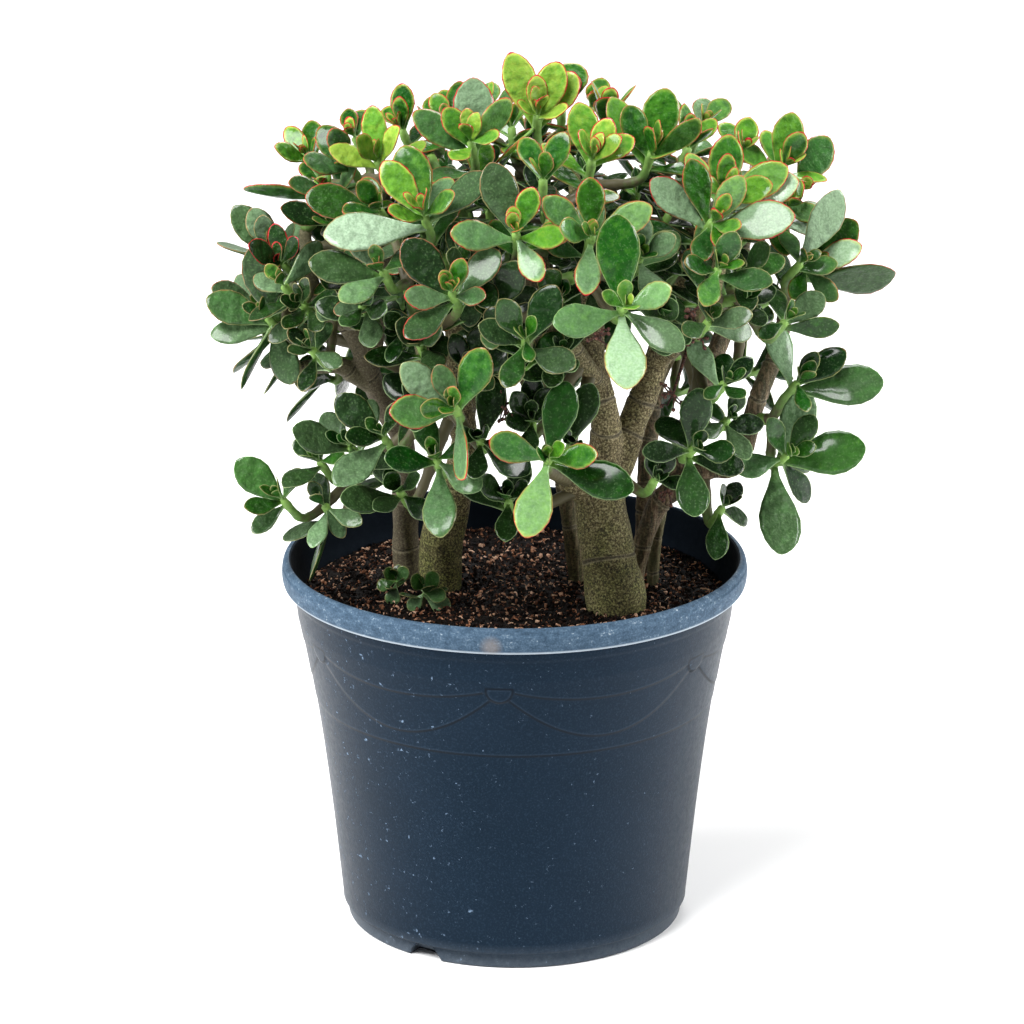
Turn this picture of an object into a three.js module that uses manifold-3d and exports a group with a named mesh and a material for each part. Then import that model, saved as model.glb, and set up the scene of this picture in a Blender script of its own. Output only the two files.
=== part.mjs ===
// A jade plant in a blow-moulded nursery pot: six woody trunks, leafy sprays and two seedlings.
// Millimetres, +Z up. The origin is the middle of the pot's flat underside.

import * as THREE from 'three';
import Module from 'manifold-3d';

const wasm = await Module();
wasm.setup();

// ---- driving dimensions ------------------------------------------------------------------------

const POT = {
  height: 275,
  rimRadius: 170,
  lipWidth: 6.7,
  lipHeight: 18.4,
  wall: 3,
  floor: 4,
  footRadius: 123.5,
  footHeight: 12,
  bellyRadius: 128,
  neckRadius: 158,
  neckHeight: 232,
  sides: 36,
  swags: 6,
  firstKnob: -94,
  knobHeight: 224,
  knobRadius: 8,
  swagSag: 40,
  notchWidth: 26,
  notchHeight: 11,
  notches: 2,
  firstNotch: -122,
};

const SOIL = { level: 245, rings: 3, lump: 2.2 };

// Room left between solids that touch.
const GAP = 0.4;

// Corners closer than this count as one.
const SAME_CORNER = 0.002;

// The reference view, from which the visible shoots were laid out: its eye, how far it looks down,
// its focal length and the middle of its square picture, both in picture units.
const SIGHT = { eye: [-1.9, -3400, 1400.5], pitch: 17.83, focal: 4908, middle: 512 };

// The dome on which the hearts of the outer rosettes lie.
const CROWN = { centre: [17, 0, 455], radii: [197, 165, 150] };

const LEAF = {
  width: 0.43,
  thickness: 0.07,
  neck: 0.14,
  widest: 0.65,
  point: 0.62,
  sample: 5.2,
  clearance: 2.55,
  sunk: 2.6,
  node: 2.3,
  large: 56,
  least: 32,
};

const STEM = { root: 4.8, fork: 4.2, tip: 3.1, neck: 18, sides: 4, steps: 4 };

const COLOURS = {
  pot: 0x2c3a48,
  soil: 0x2a1812,
  bark: 0x8a7d66,
  leaf: 0x4f8a3c,
  seedling: 0x3f6f42,
};

// ---- vectors, sight lines and seeded draws -----------------------------------------------------

const vec = (x, y, z) => new THREE.Vector3(x, y, z);
const radians = THREE.MathUtils.degToRad;
const EYE = vec(...SIGHT.eye);

function sightLine(x, y) {
  const pitch = radians(SIGHT.pitch);
  const across = (x - SIGHT.middle) / SIGHT.focal;
  const up = (SIGHT.middle - y) / SIGHT.focal;
  return vec(across, Math.cos(pitch) + up * Math.sin(pitch), up * Math.cos(pitch) - Math.sin(pitch))
    .normalize();
}

// The point that shows at (x, y) in the reference view and lies at the depth y = depth.
function seen(x, y, depth) {
  const line = sightLine(x, y);
  return EYE.clone().addScaledVector(line, (depth - EYE.y) / line.y);
}

// The point that shows at (x, y) on the near side of the crown's dome, moved back by behind.
function onCrown(x, y, behind) {
  const line = sightLine(x, y);
  const centre = vec(...CROWN.centre);
  const radii = vec(...CROWN.radii);
  const d = line.clone().divide(radii);
  const e = EYE.clone().sub(centre).divide(radii);
  const a = d.dot(d);
  const b = e.dot(d);
  const c = e.dot(e) - 1;
  const root = Math.sqrt(Math.max(b * b - a * c, 0));
  return EYE.clone().addScaledVector(line, (-b - root) / a + behind);
}

function makeRandom(seed) {
  let state = seed >>> 0;
  return () => {
    state = (state + 0x6d2b79f5) >>> 0;
    let t = state;
    t = Math.imul(t ^ (t >>> 15), t | 1);
    t ^= t + Math.imul(t ^ (t >>> 7), t | 61);
    return ((t ^ (t >>> 14)) >>> 0) / 4294967296;
  };
}

// Any direction square to the given one.
function squareTo(direction) {
  const helper = Math.abs(direction.z) < 0.9 ? vec(0, 0, 1) : vec(1, 0, 0);
  return helper.cross(direction).normalize();
}

// ---- closed solids -----------------------------------------------------------------------------

function solid(points, triangles) {
  const vertProperties = new Float32Array(points.flatMap((p) => [p.x, p.y, p.z]));
  const triVerts = new Uint32Array(triangles.flat());
  return new wasm.Manifold(new wasm.Mesh({ numProp: 3, vertProperties, triVerts }));
}

function fuse(solids) {
  return solids.reduce((whole, piece) => whole.add(piece));
}

// The largest body of a solid that a cut has parted.
function largest(whole) {
  return whole.decompose().sort((a, b) => b.volume() - a.volume())[0];
}

// Whether no two corners of a solid fall together, as they can where two edges only just touch.
function cornersApart(whole) {
  const { vertProperties, numVert } = whole.getMesh();
  const places = new Set();
  for (let i = 0; i < numVert; i += 1) {
    places.add([0, 1, 2].map((k) => Math.round(vertProperties[3 * i + k] / SAME_CORNER)).join());
  }
  return places.size === numVert;
}

// A solid without the short edges that fusing and cutting leave: the coarsest of the given
// tolerances that keeps its corners apart.
function tidied(whole, tolerances) {
  return tolerances.map((tolerance) => whole.asOriginal().simplify(tolerance))
    .find((tidy) => cornersApart(tidy)) ?? whole;
}

function toMesh(name, whole, colour, roughness) {
  const { vertProperties, triVerts } = whole.getMesh();
  const geometry = new THREE.BufferGeometry();
  geometry.setAttribute('position', new THREE.BufferAttribute(vertProperties, 3));
  geometry.setIndex(new THREE.BufferAttribute(triVerts, 1));
  geometry.computeVertexNormals();
  const material = new THREE.MeshStandardMaterial({ color: colour, roughness, metalness: 0 });
  const mesh = new THREE.Mesh(geometry, material);
  mesh.name = name;
  return mesh;
}

// A solid swept along points: a ring of equal sides round each, square to the way on, and flat
// ends. The rings are carried on without twist.
function tube(points, radii, sides) {
  const vertices = [];
  const triangles = [];
  let side = null;
  points.forEach((point, i) => {
    const before = points[Math.max(i - 1, 0)];
    const after = points[Math.min(i + 1, points.length - 1)];
    const way = after.clone().sub(before).normalize();
    side = side ? side.addScaledVector(way, -side.dot(way)).normalize() : squareTo(way);
    const other = way.clone().cross(side);
    for (let k = 0; k < sides; k += 1) {
      const turn = (2 * Math.PI * k) / sides;
      vertices.push(point.clone()
        .addScaledVector(side, radii[i] * Math.cos(turn))
        .addScaledVector(other, radii[i] * Math.sin(turn)));
    }
  });
  for (let i = 0; i < points.length - 1; i += 1) {
    for (let k = 0; k < sides; k += 1) {
      const a = i * sides + k;
      const b = i * sides + ((k + 1) % sides);
      triangles.push([a, b, b + sides], [a, b + sides, a + sides]);
    }
  }
  const last = (points.length - 1) * sides;
  for (let k = 1; k < sides - 1; k += 1) {
    triangles.push([0, k + 1, k], [last, last + k, last + k + 1]);
  }
  return solid(vertices, triangles);
}

// A solid turned round the Z axis from a closed outline of [radius, height] points.
function turned(outline, sides) {
  const vertices = [];
  const triangles = [];
  const rows = outline.map(([radius, height]) => {
    if (radius === 0) {
      vertices.push(vec(0, 0, height));
      return [vertices.length - 1];
    }
    const row = [];
    for (let k = 0; k < sides; k += 1) {
      const turn = (2 * Math.PI * k) / sides;
      vertices.push(vec(radius * Math.cos(turn), radius * Math.sin(turn), height));
      row.push(vertices.length - 1);
    }
    return row;
  });
  rows.slice(0, -1).forEach((row, i) => {
    const next = rows[i + 1];
    for (let k = 0; k < sides; k += 1) {
      const l = (k + 1) % sides;
      if (row.length > 1) triangles.push([row[k], row[l], next[l % next.length]]);
      if (next.length > 1) triangles.push([row[k % row.length], next[l], next[k]]);
    }
  });
  return solid(vertices, triangles);
}

// ---- pot ---------------------------------------------------------------------------------------

// The outer radius of the pot's body at a height: a cone that flares a little towards the neck.
function bodyRadius(height) {
  const up = (height - POT.footHeight) / (POT.neckHeight - POT.footHeight);
  return POT.bellyRadius + (POT.neckRadius - POT.bellyRadius) * (0.72 * up + 0.28 * up ** 3);
}

function innerRadius(height) {
  return (height < POT.neckHeight ? bodyRadius(height) : POT.neckRadius
    + ((height - POT.neckHeight) / (POT.height - POT.neckHeight))
    * (POT.rimRadius - POT.lipWidth + POT.wall - POT.neckRadius)) - POT.wall;
}

const INNER_ROWS = [POT.footHeight, 110, POT.neckHeight];

function potShell() {
  const lipBase = POT.height - POT.lipHeight;
  const outer = [POT.footHeight, 90, 165, POT.neckHeight].map((z) => [bodyRadius(z), z]);
  const mouth = POT.rimRadius - POT.lipWidth;
  const inner = INNER_ROWS.slice().reverse().map((z) => [innerRadius(z), z]);
  return turned([
    [0, 0], [POT.footRadius, 0], [POT.footRadius, POT.footHeight],
    ...outer,
    [bodyRadius(POT.neckHeight) + 3, lipBase], [POT.rimRadius - 1.5, lipBase],
    [POT.rimRadius, lipBase + 5], [POT.rimRadius - 0.6, POT.height - 4],
    [POT.rimRadius - 3, POT.height], [mouth, POT.height],
    ...inner,
    [POT.footRadius - POT.wall, POT.floor], [0, POT.floor],
  ], POT.sides);
}

// A point on the pot's wall, stood proud of it, at an angle in degrees.
function onWall(angle, height, proud) {
  const turn = radians(angle);
  const r = bodyRadius(height) + proud;
  return vec(r * Math.cos(turn), r * Math.sin(turn), height);
}

// One festoon of the moulded relief: a raised line that sags between two knobs.
function swag(index) {
  const span = 360 / POT.swags;
  const points = [];
  for (let k = 0; k <= 6; k += 1) {
    const along = k / 6;
    const sag = POT.swagSag * (1 - (2 * along - 1) ** 2);
    points.push(onWall(POT.firstKnob + span * (index + along), POT.knobHeight - sag, -0.4));
  }
  return tube(points, points.map(() => 1.6), 4);
}

function knob(index) {
  const angle = POT.firstKnob + (360 / POT.swags) * index;
  const points = [-1.5, 1].map((proud) => onWall(angle, POT.knobHeight, proud));
  return tube(points, [POT.knobRadius, POT.knobRadius * 0.8], 6);
}

// A drain notch where the wall meets the floor: an arched bar that is cut away.
function notch(index) {
  const turn = radians(POT.firstNotch + (360 / POT.notches) * index);
  const way = vec(Math.cos(turn), Math.sin(turn), 0);
  const inside = way.clone().multiplyScalar(POT.footRadius - 14);
  const outside = way.clone().multiplyScalar(POT.footRadius + 14);
  const across = vec(-Math.sin(turn), Math.cos(turn), 0);
  const arch = [[-1, -0.4], [-0.92, 0.45], [-0.5, 0.95], [0.5, 0.95], [0.92, 0.45], [1, -0.4]];
  const ring = (centre) => arch.map(([a, h]) => centre.clone()
    .addScaledVector(across, (a * POT.notchWidth) / 2).setZ(h * POT.notchHeight));
  const points = [...ring(inside), ...ring(outside)];
  const n = arch.length;
  const triangles = [];
  for (let k = 0; k < n; k += 1) {
    const l = (k + 1) % n;
    triangles.push([k, l, l + n], [k, l + n, k + n]);
  }
  for (let k = 1; k < n - 1; k += 1) triangles.push([0, k + 1, k], [n, n + k, n + k + 1]);
  const bar = solid(points, triangles);
  return bar.volume() > 0 ? bar : solid(points, triangles.map(([a, b, c]) => [a, c, b]));
}

function pot() {
  const raised = [];
  for (let i = 0; i < POT.swags; i += 1) raised.push(swag(i), knob(i));
  let body = tidied(fuse([potShell(), ...raised]), [0.2, 0.1, 0.05]);
  for (let i = 0; i < POT.notches; i += 1) body = body.subtract(notch(i));
  return body;
}

// ---- wood --------------------------------------------------------------------------------------

// A limb's route: points seen in the reference view as [x, y, depth, radius], or placed in the
// plant's own space as { at: [x, y, z, radius] } where no view shows them.
const LIMBS = {
  trunk_right_front: [
    [[615, 655, -37, 18], [616, 622, -37, 20.5], [616, 594, -35, 22.6], [609, 560, -31, 20.2],
      [602, 520, -27, 19.6], [600, 487, -24, 19], [601, 466, -24, 15]],
    [[602, 490, -24, 13.5], [606, 430, -30, 11.5], [600, 395, -34, 10.5], [592, 350, -34, 9.5],
      { at: [55, -28, 470, 8] }, { at: [48, -20, 520, 6.5] }, { at: [42, -10, 562, 5] }],
    [[604, 492, -20, 14], [622, 452, -17, 12], [634, 420, -12, 10.8], [650, 380, -4, 10],
      { at: [118, 8, 470, 8.5] }, { at: [130, 15, 520, 7] }, { at: [138, 20, 562, 5] }],
    [{ at: [62, -32, 412, 8] }, { at: [48, -66, 440, 7] }, { at: [28, -92, 480, 6] },
      { at: [18, -98, 525, 5] }],
    [{ at: [104, -6, 425, 8] }, { at: [122, -42, 452, 7] }, { at: [138, -74, 490, 6] },
      { at: [146, -80, 530, 5] }],
    [[592, 500, -26, 9], [574, 486, -36, 8.5], [567, 480, -40, 8]],
  ],
  trunk_right_back: [
    [[632, 618, 2, 8], [635, 574, 2, 7.4], [642, 546, 2, 7.2], [648, 528, 2, 7.6],
      [658, 504, 2, 8.2], [680, 484, 0, 8.6], [712, 468, -6, 8], [738, 462, -10, 7.5],
      { at: [176, -8, 398, 7] },
      { at: [192, 0, 440, 6] }, { at: [196, 4, 480, 5] }],
    [[672, 494, 2, 9], { at: [130, 22, 380, 8] }, { at: [152, 44, 430, 7] },
      { at: [165, 60, 480, 6] }, { at: [168, 66, 530, 5] }],
    [[652, 600, 22, 4.6], [653, 570, 22, 4.6], [657, 535, 17, 4.6], [664, 498, 5, 4.6]],
  ],
  trunk_right_inner: [
    [{ at: [95, 46, 205, 8.5] }, { at: [96, 46, 262, 8] }, { at: [97, 47, 310, 7.5] },
      { at: [100, 58, 360, 7] }, { at: [110, 84, 420, 6.5] }, { at: [112, 104, 475, 5.8] },
      { at: [108, 108, 530, 4.8] }],
    [{ at: [104, 70, 385, 6] }, { at: [128, 96, 425, 5.5] }, { at: [148, 108, 465, 4.8] }],
  ],
  trunk_middle: [
    [[577, 612, 28, 7], [577, 580, 28, 6.5], [569, 520, 22, 6.2], [560, 470, 15, 6],
      [545, 410, 5, 5.8], { at: [16, 15, 450, 5.5] }, { at: [8, 35, 500, 5] },
      { at: [4, 52, 550, 4.5] }],
    [[548, 420, 7, 5.6], { at: [0, -36, 432, 5.2] }, { at: [-14, -72, 470, 4.8] }],
    [[545, 410, 5, 5.6], { at: [28, 60, 425, 5.4] }, { at: [24, 98, 465, 5] },
      { at: [22, 112, 515, 4.6] }],
  ],
  trunk_left_front: [
    [[440, 630, 17, 14], [441, 592, 17, 15.6], [441, 565, 17, 16.2], [442, 538, 16, 16.8],
      [448, 510, 14, 15.4], [457, 484, 11, 13], [463, 458, 8, 11], [464, 430, 5, 10],
      [458, 385, 0, 9],
      [455, 330, -2, 8], { at: [-48, 0, 505, 6.5] }, { at: [-54, 5, 555, 5] }],
    [[464, 440, 5, 9], { at: [-46, -42, 398, 7] }, { at: [-60, -80, 430, 6] },
      { at: [-68, -92, 475, 5] }],
    [[463, 432, 5, 9], { at: [-35, 45, 412, 7.5] }, { at: [-42, 84, 452, 6.5] },
      { at: [-48, 104, 500, 5] }],
  ],
  trunk_left_back: [
    [[410, 620, 44, 11], [409, 583, 44, 10.6], [406, 545, 42, 10.2], [405, 510, 36, 9.8],
      [404, 470, 27, 9.3], [401, 436, 18, 9], [388, 412, 8, 8.6], [371, 380, 0, 8],
      [361, 350, -6, 7.5], [347, 325, -10, 7], { at: [-142, -10, 472, 6] },
      { at: [-150, -5, 520, 5] }],
    [[370, 384, 0, 7], [352, 374, -6, 6.5], [338, 366, -12, 6], { at: [-158, -22, 422, 5] }],
    [[392, 418, 10, 8], { at: [-106, 50, 402, 7] }, { at: [-122, 84, 442, 6] },
      { at: [-126, 98, 492, 5] }],
    [[369, 376, 0, 7.5], { at: [-98, 12, 455, 7] }, { at: [-92, 15, 512, 6] },
      { at: [-96, 12, 556, 5] }],
  ],
};

const smooth = (a, b, c, d, t) => 0.5 * (2 * b + (c - a) * t
  + (2 * a - 5 * b + 4 * c - d) * t * t + (3 * b - a - 3 * c + d) * t * t * t);

// The limb's axis as points with their radii: a smooth curve through its route, steps to a stretch.
function limbAxis(route, steps) {
  const knots = route.map((knot) => {
    if (!Array.isArray(knot)) return knot.at;
    const [x, y, depth, radius] = knot;
    const point = seen(x, y, depth);
    return [point.x, point.y, point.z, radius];
  });
  const axis = [];
  for (let i = 0; i < knots.length - 1; i += 1) {
    const four = [knots[Math.max(i - 1, 0)], knots[i], knots[i + 1],
      knots[Math.min(i + 2, knots.length - 1)]];
    for (let k = 0; k < steps; k += 1) {
      axis.push([0, 1, 2, 3].map((n) => smooth(...four.map((knot) => knot[n]), k / steps)));
    }
  }
  axis.push(knots[knots.length - 1]);
  return axis.map(([x, y, z, radius]) => ({ point: vec(x, y, z), radius }));
}

function limbSolid(route, extra) {
  const axis = limbAxis(route, 1);
  const sides = axis[0].radius > 12 ? 8 : 5;
  const grow = 1 / Math.cos(Math.PI / sides) ** 0.5;
  const points = axis.map(({ point }) => point);
  const [beforeEnd, end] = points.slice(-2);
  const way = end.clone().sub(beforeEnd).normalize();
  points[points.length - 1] = end.clone().addScaledVector(way, extra);
  return tube(points, axis.map(({ radius }) => radius * grow + extra), sides);
}

function woodSolid(name, extra = 0) {
  return tidied(fuse(LIMBS[name].map((route) => limbSolid(route, extra))), [0.15, 0.1, 0.05]);
}

// ---- soil --------------------------------------------------------------------------------------

function soil(stems) {
  const floor = POT.floor + GAP;
  const wall = INNER_ROWS.map((z) => [innerRadius(z) - 3 * GAP, z]);
  const edge = innerRadius(SOIL.level) - 3 * GAP;
  const top = [];
  for (let k = 0; k < SOIL.rings; k += 1) {
    top.push([edge * (1 - k / SOIL.rings), SOIL.level - 2 + SOIL.lump * Math.sin(2.1 * k + 0.6)]);
  }
  const body = turned([
    [0, floor], [POT.footRadius - POT.wall - 6, floor], ...wall, ...top, [0, SOIL.level],
  ], POT.sides);
  return tidied(stems.reduce((whole, stem) => whole.subtract(stem), body), [0.15, 0.1, 0.05]);
}

// ---- rosettes ----------------------------------------------------------------------------------

// What grows from one shoot tip. heart is where its middle shows in the reference view, behind how
// far behind the crown's dome it lies, face how much it turns to the viewer (0 up, 1 to the eye),
// leaf the length of its large leaves. Each leaf is [x, y] of its tip in the view, then its own
// length, with a minus where it leans away from the viewer, then the roll of its blade in degrees.
const ROSETTES = [
  { heart: [309, 158], behind: 15, face: 0.3, leaf: 36, tips: [[286, 127, -34], [274, 147, 34],
    [316, 139, 22], [311, 120, -36]] },
  { heart: [352, 168], behind: 5, face: 0.35, leaf: 44, tips: [[320, 126, -44], [332, 128, 36],
    [303, 160, 42]] },
  { heart: [377, 160], behind: 5, face: 0.3, leaf: 42, tips: [[372, 105, -44], [357, 137, 34],
    [400, 127, 38], [380, 142, 16], [351, 108, -48, 70]] },
  { heart: [402, 130], behind: 40, face: 0.2, leaf: 36, tips: [[400, 96, 30], [402, 83, -38],
    [385, 107, -28]] },
  { heart: [434, 128], behind: 45, face: 0.2, leaf: 34, tips: [[431, 96, -32], [418, 108, 28]] },
  { heart: [471, 142], behind: 5, face: 0.35, leaf: 46, tips: [[413, 112, 48], [463, 78, -52],
    [500, 135, 26], [440, 113, -36], [478, 112, 26], [445, 95, -44, 60], [501, 92, -42, 60],
    [452, 160, 30]] },
  { heart: [537, 116], behind: 25, face: 0.25, leaf: 46, tips: [[510, 52, -52], [562, 62, -46],
    [537, 73, 34], [575, 72, -46], [517, 103, 22], [568, 108, 32], [494, 165, 42, 60]] },
  { heart: [543, 180], behind: 5, face: 0.3, leaf: 40, tips: [[523, 137, -40], [548, 152, 26],
    [566, 132, -40]] },
  { heart: [592, 160], behind: 5, face: 0.35, leaf: 40, tips: [[578, 102, -44], [578, 132, 32],
    [612, 118, -36], [622, 137, 32], [634, 137, -38]] },
  { heart: [652, 152], behind: 25, face: 0.3, leaf: 42, tips: [[667, 88, -48], [660, 121, 30],
    [610, 97, -54], [632, 100, -44], [690, 105, -46, 50], [680, 122, 34], [672, 153, 34]] },
  { heart: [725, 195], behind: 0, face: 0.45, leaf: 46, tips: [[730, 134, -50], [728, 153, 34],
    [690, 150, -44], [768, 143, -48], [772, 175, 36], [799, 180, -56], [703, 172, 26],
    [736, 206, 28]] },
  { heart: [783, 168], behind: 25, face: 0.3, leaf: 40, tips: [[793, 112, -44], [770, 125, -36],
    [803, 132, 34], [780, 148, 24], [748, 130, -38]] },
  { heart: [796, 192], behind: 30, face: 0.3, leaf: 42, tips: [[833, 133, -52], [827, 170, 34]] },
  { heart: [275, 254], behind: 0, face: 0.45, leaf: 42, tips: [[233, 206, -46], [252, 207, -40],
    [268, 207, 42], [219, 235, -42, 60], [250, 238, 30], [298, 235, 30]] },
  { heart: [330, 192], behind: 15, face: 0.4, leaf: 40, tips: [[288, 183, 36], [243, 189, -64, 75],
    [316, 178, -26]] },
  { heart: [380, 210], behind: 10, face: 0.5, leaf: 40, tips: [[305, 196, 54], [342, 212, 34],
    [358, 181, 30]] },
  { heart: [424, 216], behind: 0, face: 0.5, leaf: 48, tips: [[323, 236, 74], [383, 161, -52],
    [488, 174, 56], [402, 143, -56], [455, 194, 34], [388, 212, 38]] },
  { heart: [335, 226], behind: 35, face: 0.4, leaf: 42, tips: [[280, 208, 42]] },
  { heart: [516, 234], behind: 0, face: 0.85, leaf: 42, tips: [[489, 162, 52], [534, 187, 36],
    [450, 233, 48], [540, 282, 38], [566, 236, 38], [512, 205, 18]] },
  { heart: [592, 236], behind: 0, face: 0.9, leaf: 42, tips: [[590, 177, 42], [547, 196, 44],
    [652, 206, 46], [586, 296, 44], [539, 233, 40], [590, 219, 14]] },
  { heart: [712, 222], behind: 0, face: 0.7, leaf: 48, tips: [[650, 180, 54], [799, 225, 64],
    [697, 262, 34], [722, 254, 26], [668, 168, -50], [745, 238, 28]] },
  { heart: [776, 205], behind: 15, face: 0.5, leaf: 42, tips: [[820, 192, 34], [786, 256, 42],
    [756, 160, -40]] },
  { heart: [806, 268], behind: 0, face: 0.5, leaf: 44, tips: [[857, 221, -48], [866, 250, 44],
    [889, 240, -60, 70], [820, 188, -58, 55], [792, 300, 30], [838, 300, 36, 60]] },
  { heart: [268, 318], behind: 0, face: 0.6, leaf: 46, tips: [[257, 243, 56], [206, 298, -48],
    [210, 331, 48], [219, 373, 46, 65], [292, 292, 30], [236, 381, -52, 65], [278, 388, 44],
    [304, 352, 30]] },
  { heart: [312, 350], behind: 25, face: 0.7, leaf: 38, tips: [[302, 392, 32], [342, 366, 30],
    [330, 322, -30], [288, 352, 26]] },
  { heart: [383, 272], behind: 0, face: 0.6, leaf: 46, tips: [[308, 262, 56], [340, 308, 46],
    [352, 232, -40], [420, 250, -36]] },
  { heart: [452, 293], behind: 0, face: 0.8, leaf: 44, tips: [[404, 240, 54], [497, 248, 44],
    [404, 297, 38], [405, 338, 48], [486, 297, 30], [463, 258, 28], [442, 270, 20]] },
  { heart: [525, 340], behind: 0, face: 0.8, leaf: 44, tips: [[556, 285, 46], [498, 300, 40],
    [505, 388, 40], [575, 368, 48], [531, 362, 20], [478, 325, 40]] },
  { heart: [624, 308], behind: -6, face: 0.85, leaf: 50, tips: [[614, 213, 70], [553, 325, 54],
    [672, 288, 40], [627, 390, 64], [684, 350, 52], [602, 292, 22]] },
  { heart: [718, 270], behind: 0, face: 0.6, leaf: 42, tips: [[773, 283, 44], [684, 262, 36],
    [733, 228, -36], [700, 300, 34]] },
  { heart: [708, 322], behind: 15, face: 0.7, leaf: 40, tips: [[753, 314, 36], [683, 334, 30],
    [752, 332, -40], [712, 290, 26]] },
  { heart: [455, 408], behind: -4, face: 0.9, leaf: 46, tips: [[401, 364, 56], [389, 413, 50],
    [464, 480, 52, 55], [485, 348, 50], [437, 364, 34], [448, 387, 16], [421, 380, 32]] },
  { heart: [437, 460], behind: 10, face: 0.7, leaf: 46, tips: [[440, 538, 58], [481, 490, 40],
    [384, 458, 42], [470, 444, 26]] },
  { heart: [384, 437], behind: 5, face: 0.7, leaf: 42, tips: [[336, 396, 46], [335, 486, 52],
    [345, 437, 32], [399, 402, 28]] },
  { heart: [283, 500], behind: 0, face: 0.55, leaf: 42, tips: [[236, 460, 44], [244, 508, 32],
    [252, 533, 32], [300, 468, -30]] },
  { heart: [320, 462], behind: 5, face: 0.5, leaf: 44, tips: [[284, 488, 44], [345, 455, 26],
    [315, 422, -34]] },
  { heart: [325, 506], behind: 5, face: 0.5, leaf: 40, tips: [[312, 548, 34], [296, 571, 52, 60],
    [362, 524, 32], [344, 538, 26]] },
  { heart: [548, 458], behind: -6, face: 0.95, leaf: 48, tips: [[567, 381, 56], [489, 440, 46],
    [598, 455, 40], [525, 538, 60], [634, 490, 64], [545, 444, 12]] },
  { heart: [693, 450], behind: 0, face: 0.9, leaf: 44, tips: [[698, 386, 48], [642, 452, 38],
    [735, 452, 34], [695, 517, 50], [665, 420, -40]] },
  { heart: [722, 508], behind: 25, face: 0.6, leaf: 40, tips: [[715, 560, 40], [742, 480, -30],
    [748, 520, -36]] },
  { heart: [786, 456], behind: 0, face: 0.85, leaf: 50, tips: [[790, 385, 54], [866, 447, 58],
    [782, 555, 72], [735, 470, 42], [815, 415, 36], [814, 502, -44], [768, 418, 36],
    [830, 478, -46]] },
  { heart: [797, 383], behind: 0, face: 0.5, leaf: 44, tips: [[884, 382, 64], [846, 350, -42],
    [771, 322, -46], [817, 350, 28], [806, 412, 26]] },
  { heart: [785, 322], behind: 5, face: 0.5, leaf: 38, tips: [[772, 288, -32], [840, 325, 42, 60],
    [828, 300, -40], [758, 338, 26]] },
  { heart: [724, 384], behind: 10, face: 0.7, leaf: 40, tips: [[690, 340, -42], [753, 358, 32],
    [744, 398, 26], [704, 398, 22]] },
  { heart: [492, 312], behind: 45, face: 0.9, leaf: 40, tips: [[492, 350, 36], [520, 262, 46]] },
  { heart: [508, 500], behind: 40, face: 0.7, leaf: 42, tips: [[506, 542, 36], [478, 478, 40],
    [528, 482, 26]] },
  { heart: [640, 258], behind: 30, face: 0.8, leaf: 42, tips: [[676, 236, 36], [660, 300, 40],
    [612, 262, 26], [640, 214, 40]] },
  { heart: [742, 270], behind: 45, face: 0.6, leaf: 42, tips: [[748, 312, 40], [770, 246, 36]] },
  { heart: [560, 300], behind: 50, face: 0.8, leaf: 42, tips: [[548, 262, 40], [588, 322, 40],
    [535, 320, 34]] },
  { heart: [420, 345], behind: 45, face: 0.7, leaf: 42, tips: [[396, 322, 40], [440, 372, 40],
    [448, 330, 36]] },
  { heart: [345, 290], behind: 50, face: 0.6, leaf: 42, tips: [[322, 322, 42], [362, 330, 42],
    [318, 268, 40]] },
  { heart: [590, 108], behind: 70, face: 0.2, leaf: 38, tips: [[604, 78, -36], [618, 110, -34]] },
  { heart: [702, 128], behind: 60, face: 0.2, leaf: 40, tips: [[706, 98, -36], [722, 112, -34]] },
  { heart: [488, 108], behind: 75, face: 0.2, leaf: 38, tips: [[490, 82, -34], [508, 100, -32]] },
];

// The rosettes that the front doesn't show, spread evenly by the golden angle over the dome's far
// side and its top, where no other is near.
const FAR_SIDE = { count: 74, apart: 50, size: 0.97, leaf: 46, lowest: -0.62, nearest: -30, seed: 11 };

function shellRosettes(shell, taken) {
  const random = makeRandom(shell.seed);
  const centre = vec(...CROWN.centre);
  const radii = vec(...CROWN.radii);
  const golden = Math.PI * (3 - Math.sqrt(5));
  const found = [];
  for (let i = 0; i < shell.count; i += 1) {
    const up = 0.97 - ((0.97 - shell.lowest) * i) / shell.count;
    const out = Math.sqrt(1 - up * up);
    const normal = vec(out * Math.cos(golden * i), out * Math.sin(golden * i), up);
    const inward = shell.size + 0.06 * (random() - 0.5);
    const heart = centre.clone().add(normal.clone().multiply(radii).multiplyScalar(inward));
    const roll = random() * Math.PI;
    const leaf = shell.leaf * (0.86 + 0.28 * random());
    const near = [...taken, ...found].some((r) => r.heart.distanceTo(heart) < shell.apart);
    if (heart.y < shell.nearest || near) continue;
    const axis = normal.add(vec(0, 0, 0.55)).normalize();
    found.push({ heart, axis, leaf, roll, tips: [] });
  }
  return found;
}

// A rosette of the list in the plant's own space.
function seenRosette(entry, index) {
  const heart = onCrown(...entry.heart, entry.behind);
  const outward = (heart.x - CROWN.centre[0]) / CROWN.radii[0];
  const toEye = EYE.clone().sub(heart).normalize();
  const axis = vec(0.75 * outward, 0, Math.sqrt(1 - entry.face ** 2))
    .addScaledVector(toEye, entry.face).normalize();
  return { heart, axis, leaf: entry.leaf, roll: 0.9 * index, tips: entry.tips };
}

function allRosettes() {
  const front = ROSETTES.map(seenRosette);
  return [...front, ...shellRosettes(FAR_SIDE, front)];
}

// ---- leaves ------------------------------------------------------------------------------------

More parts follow.
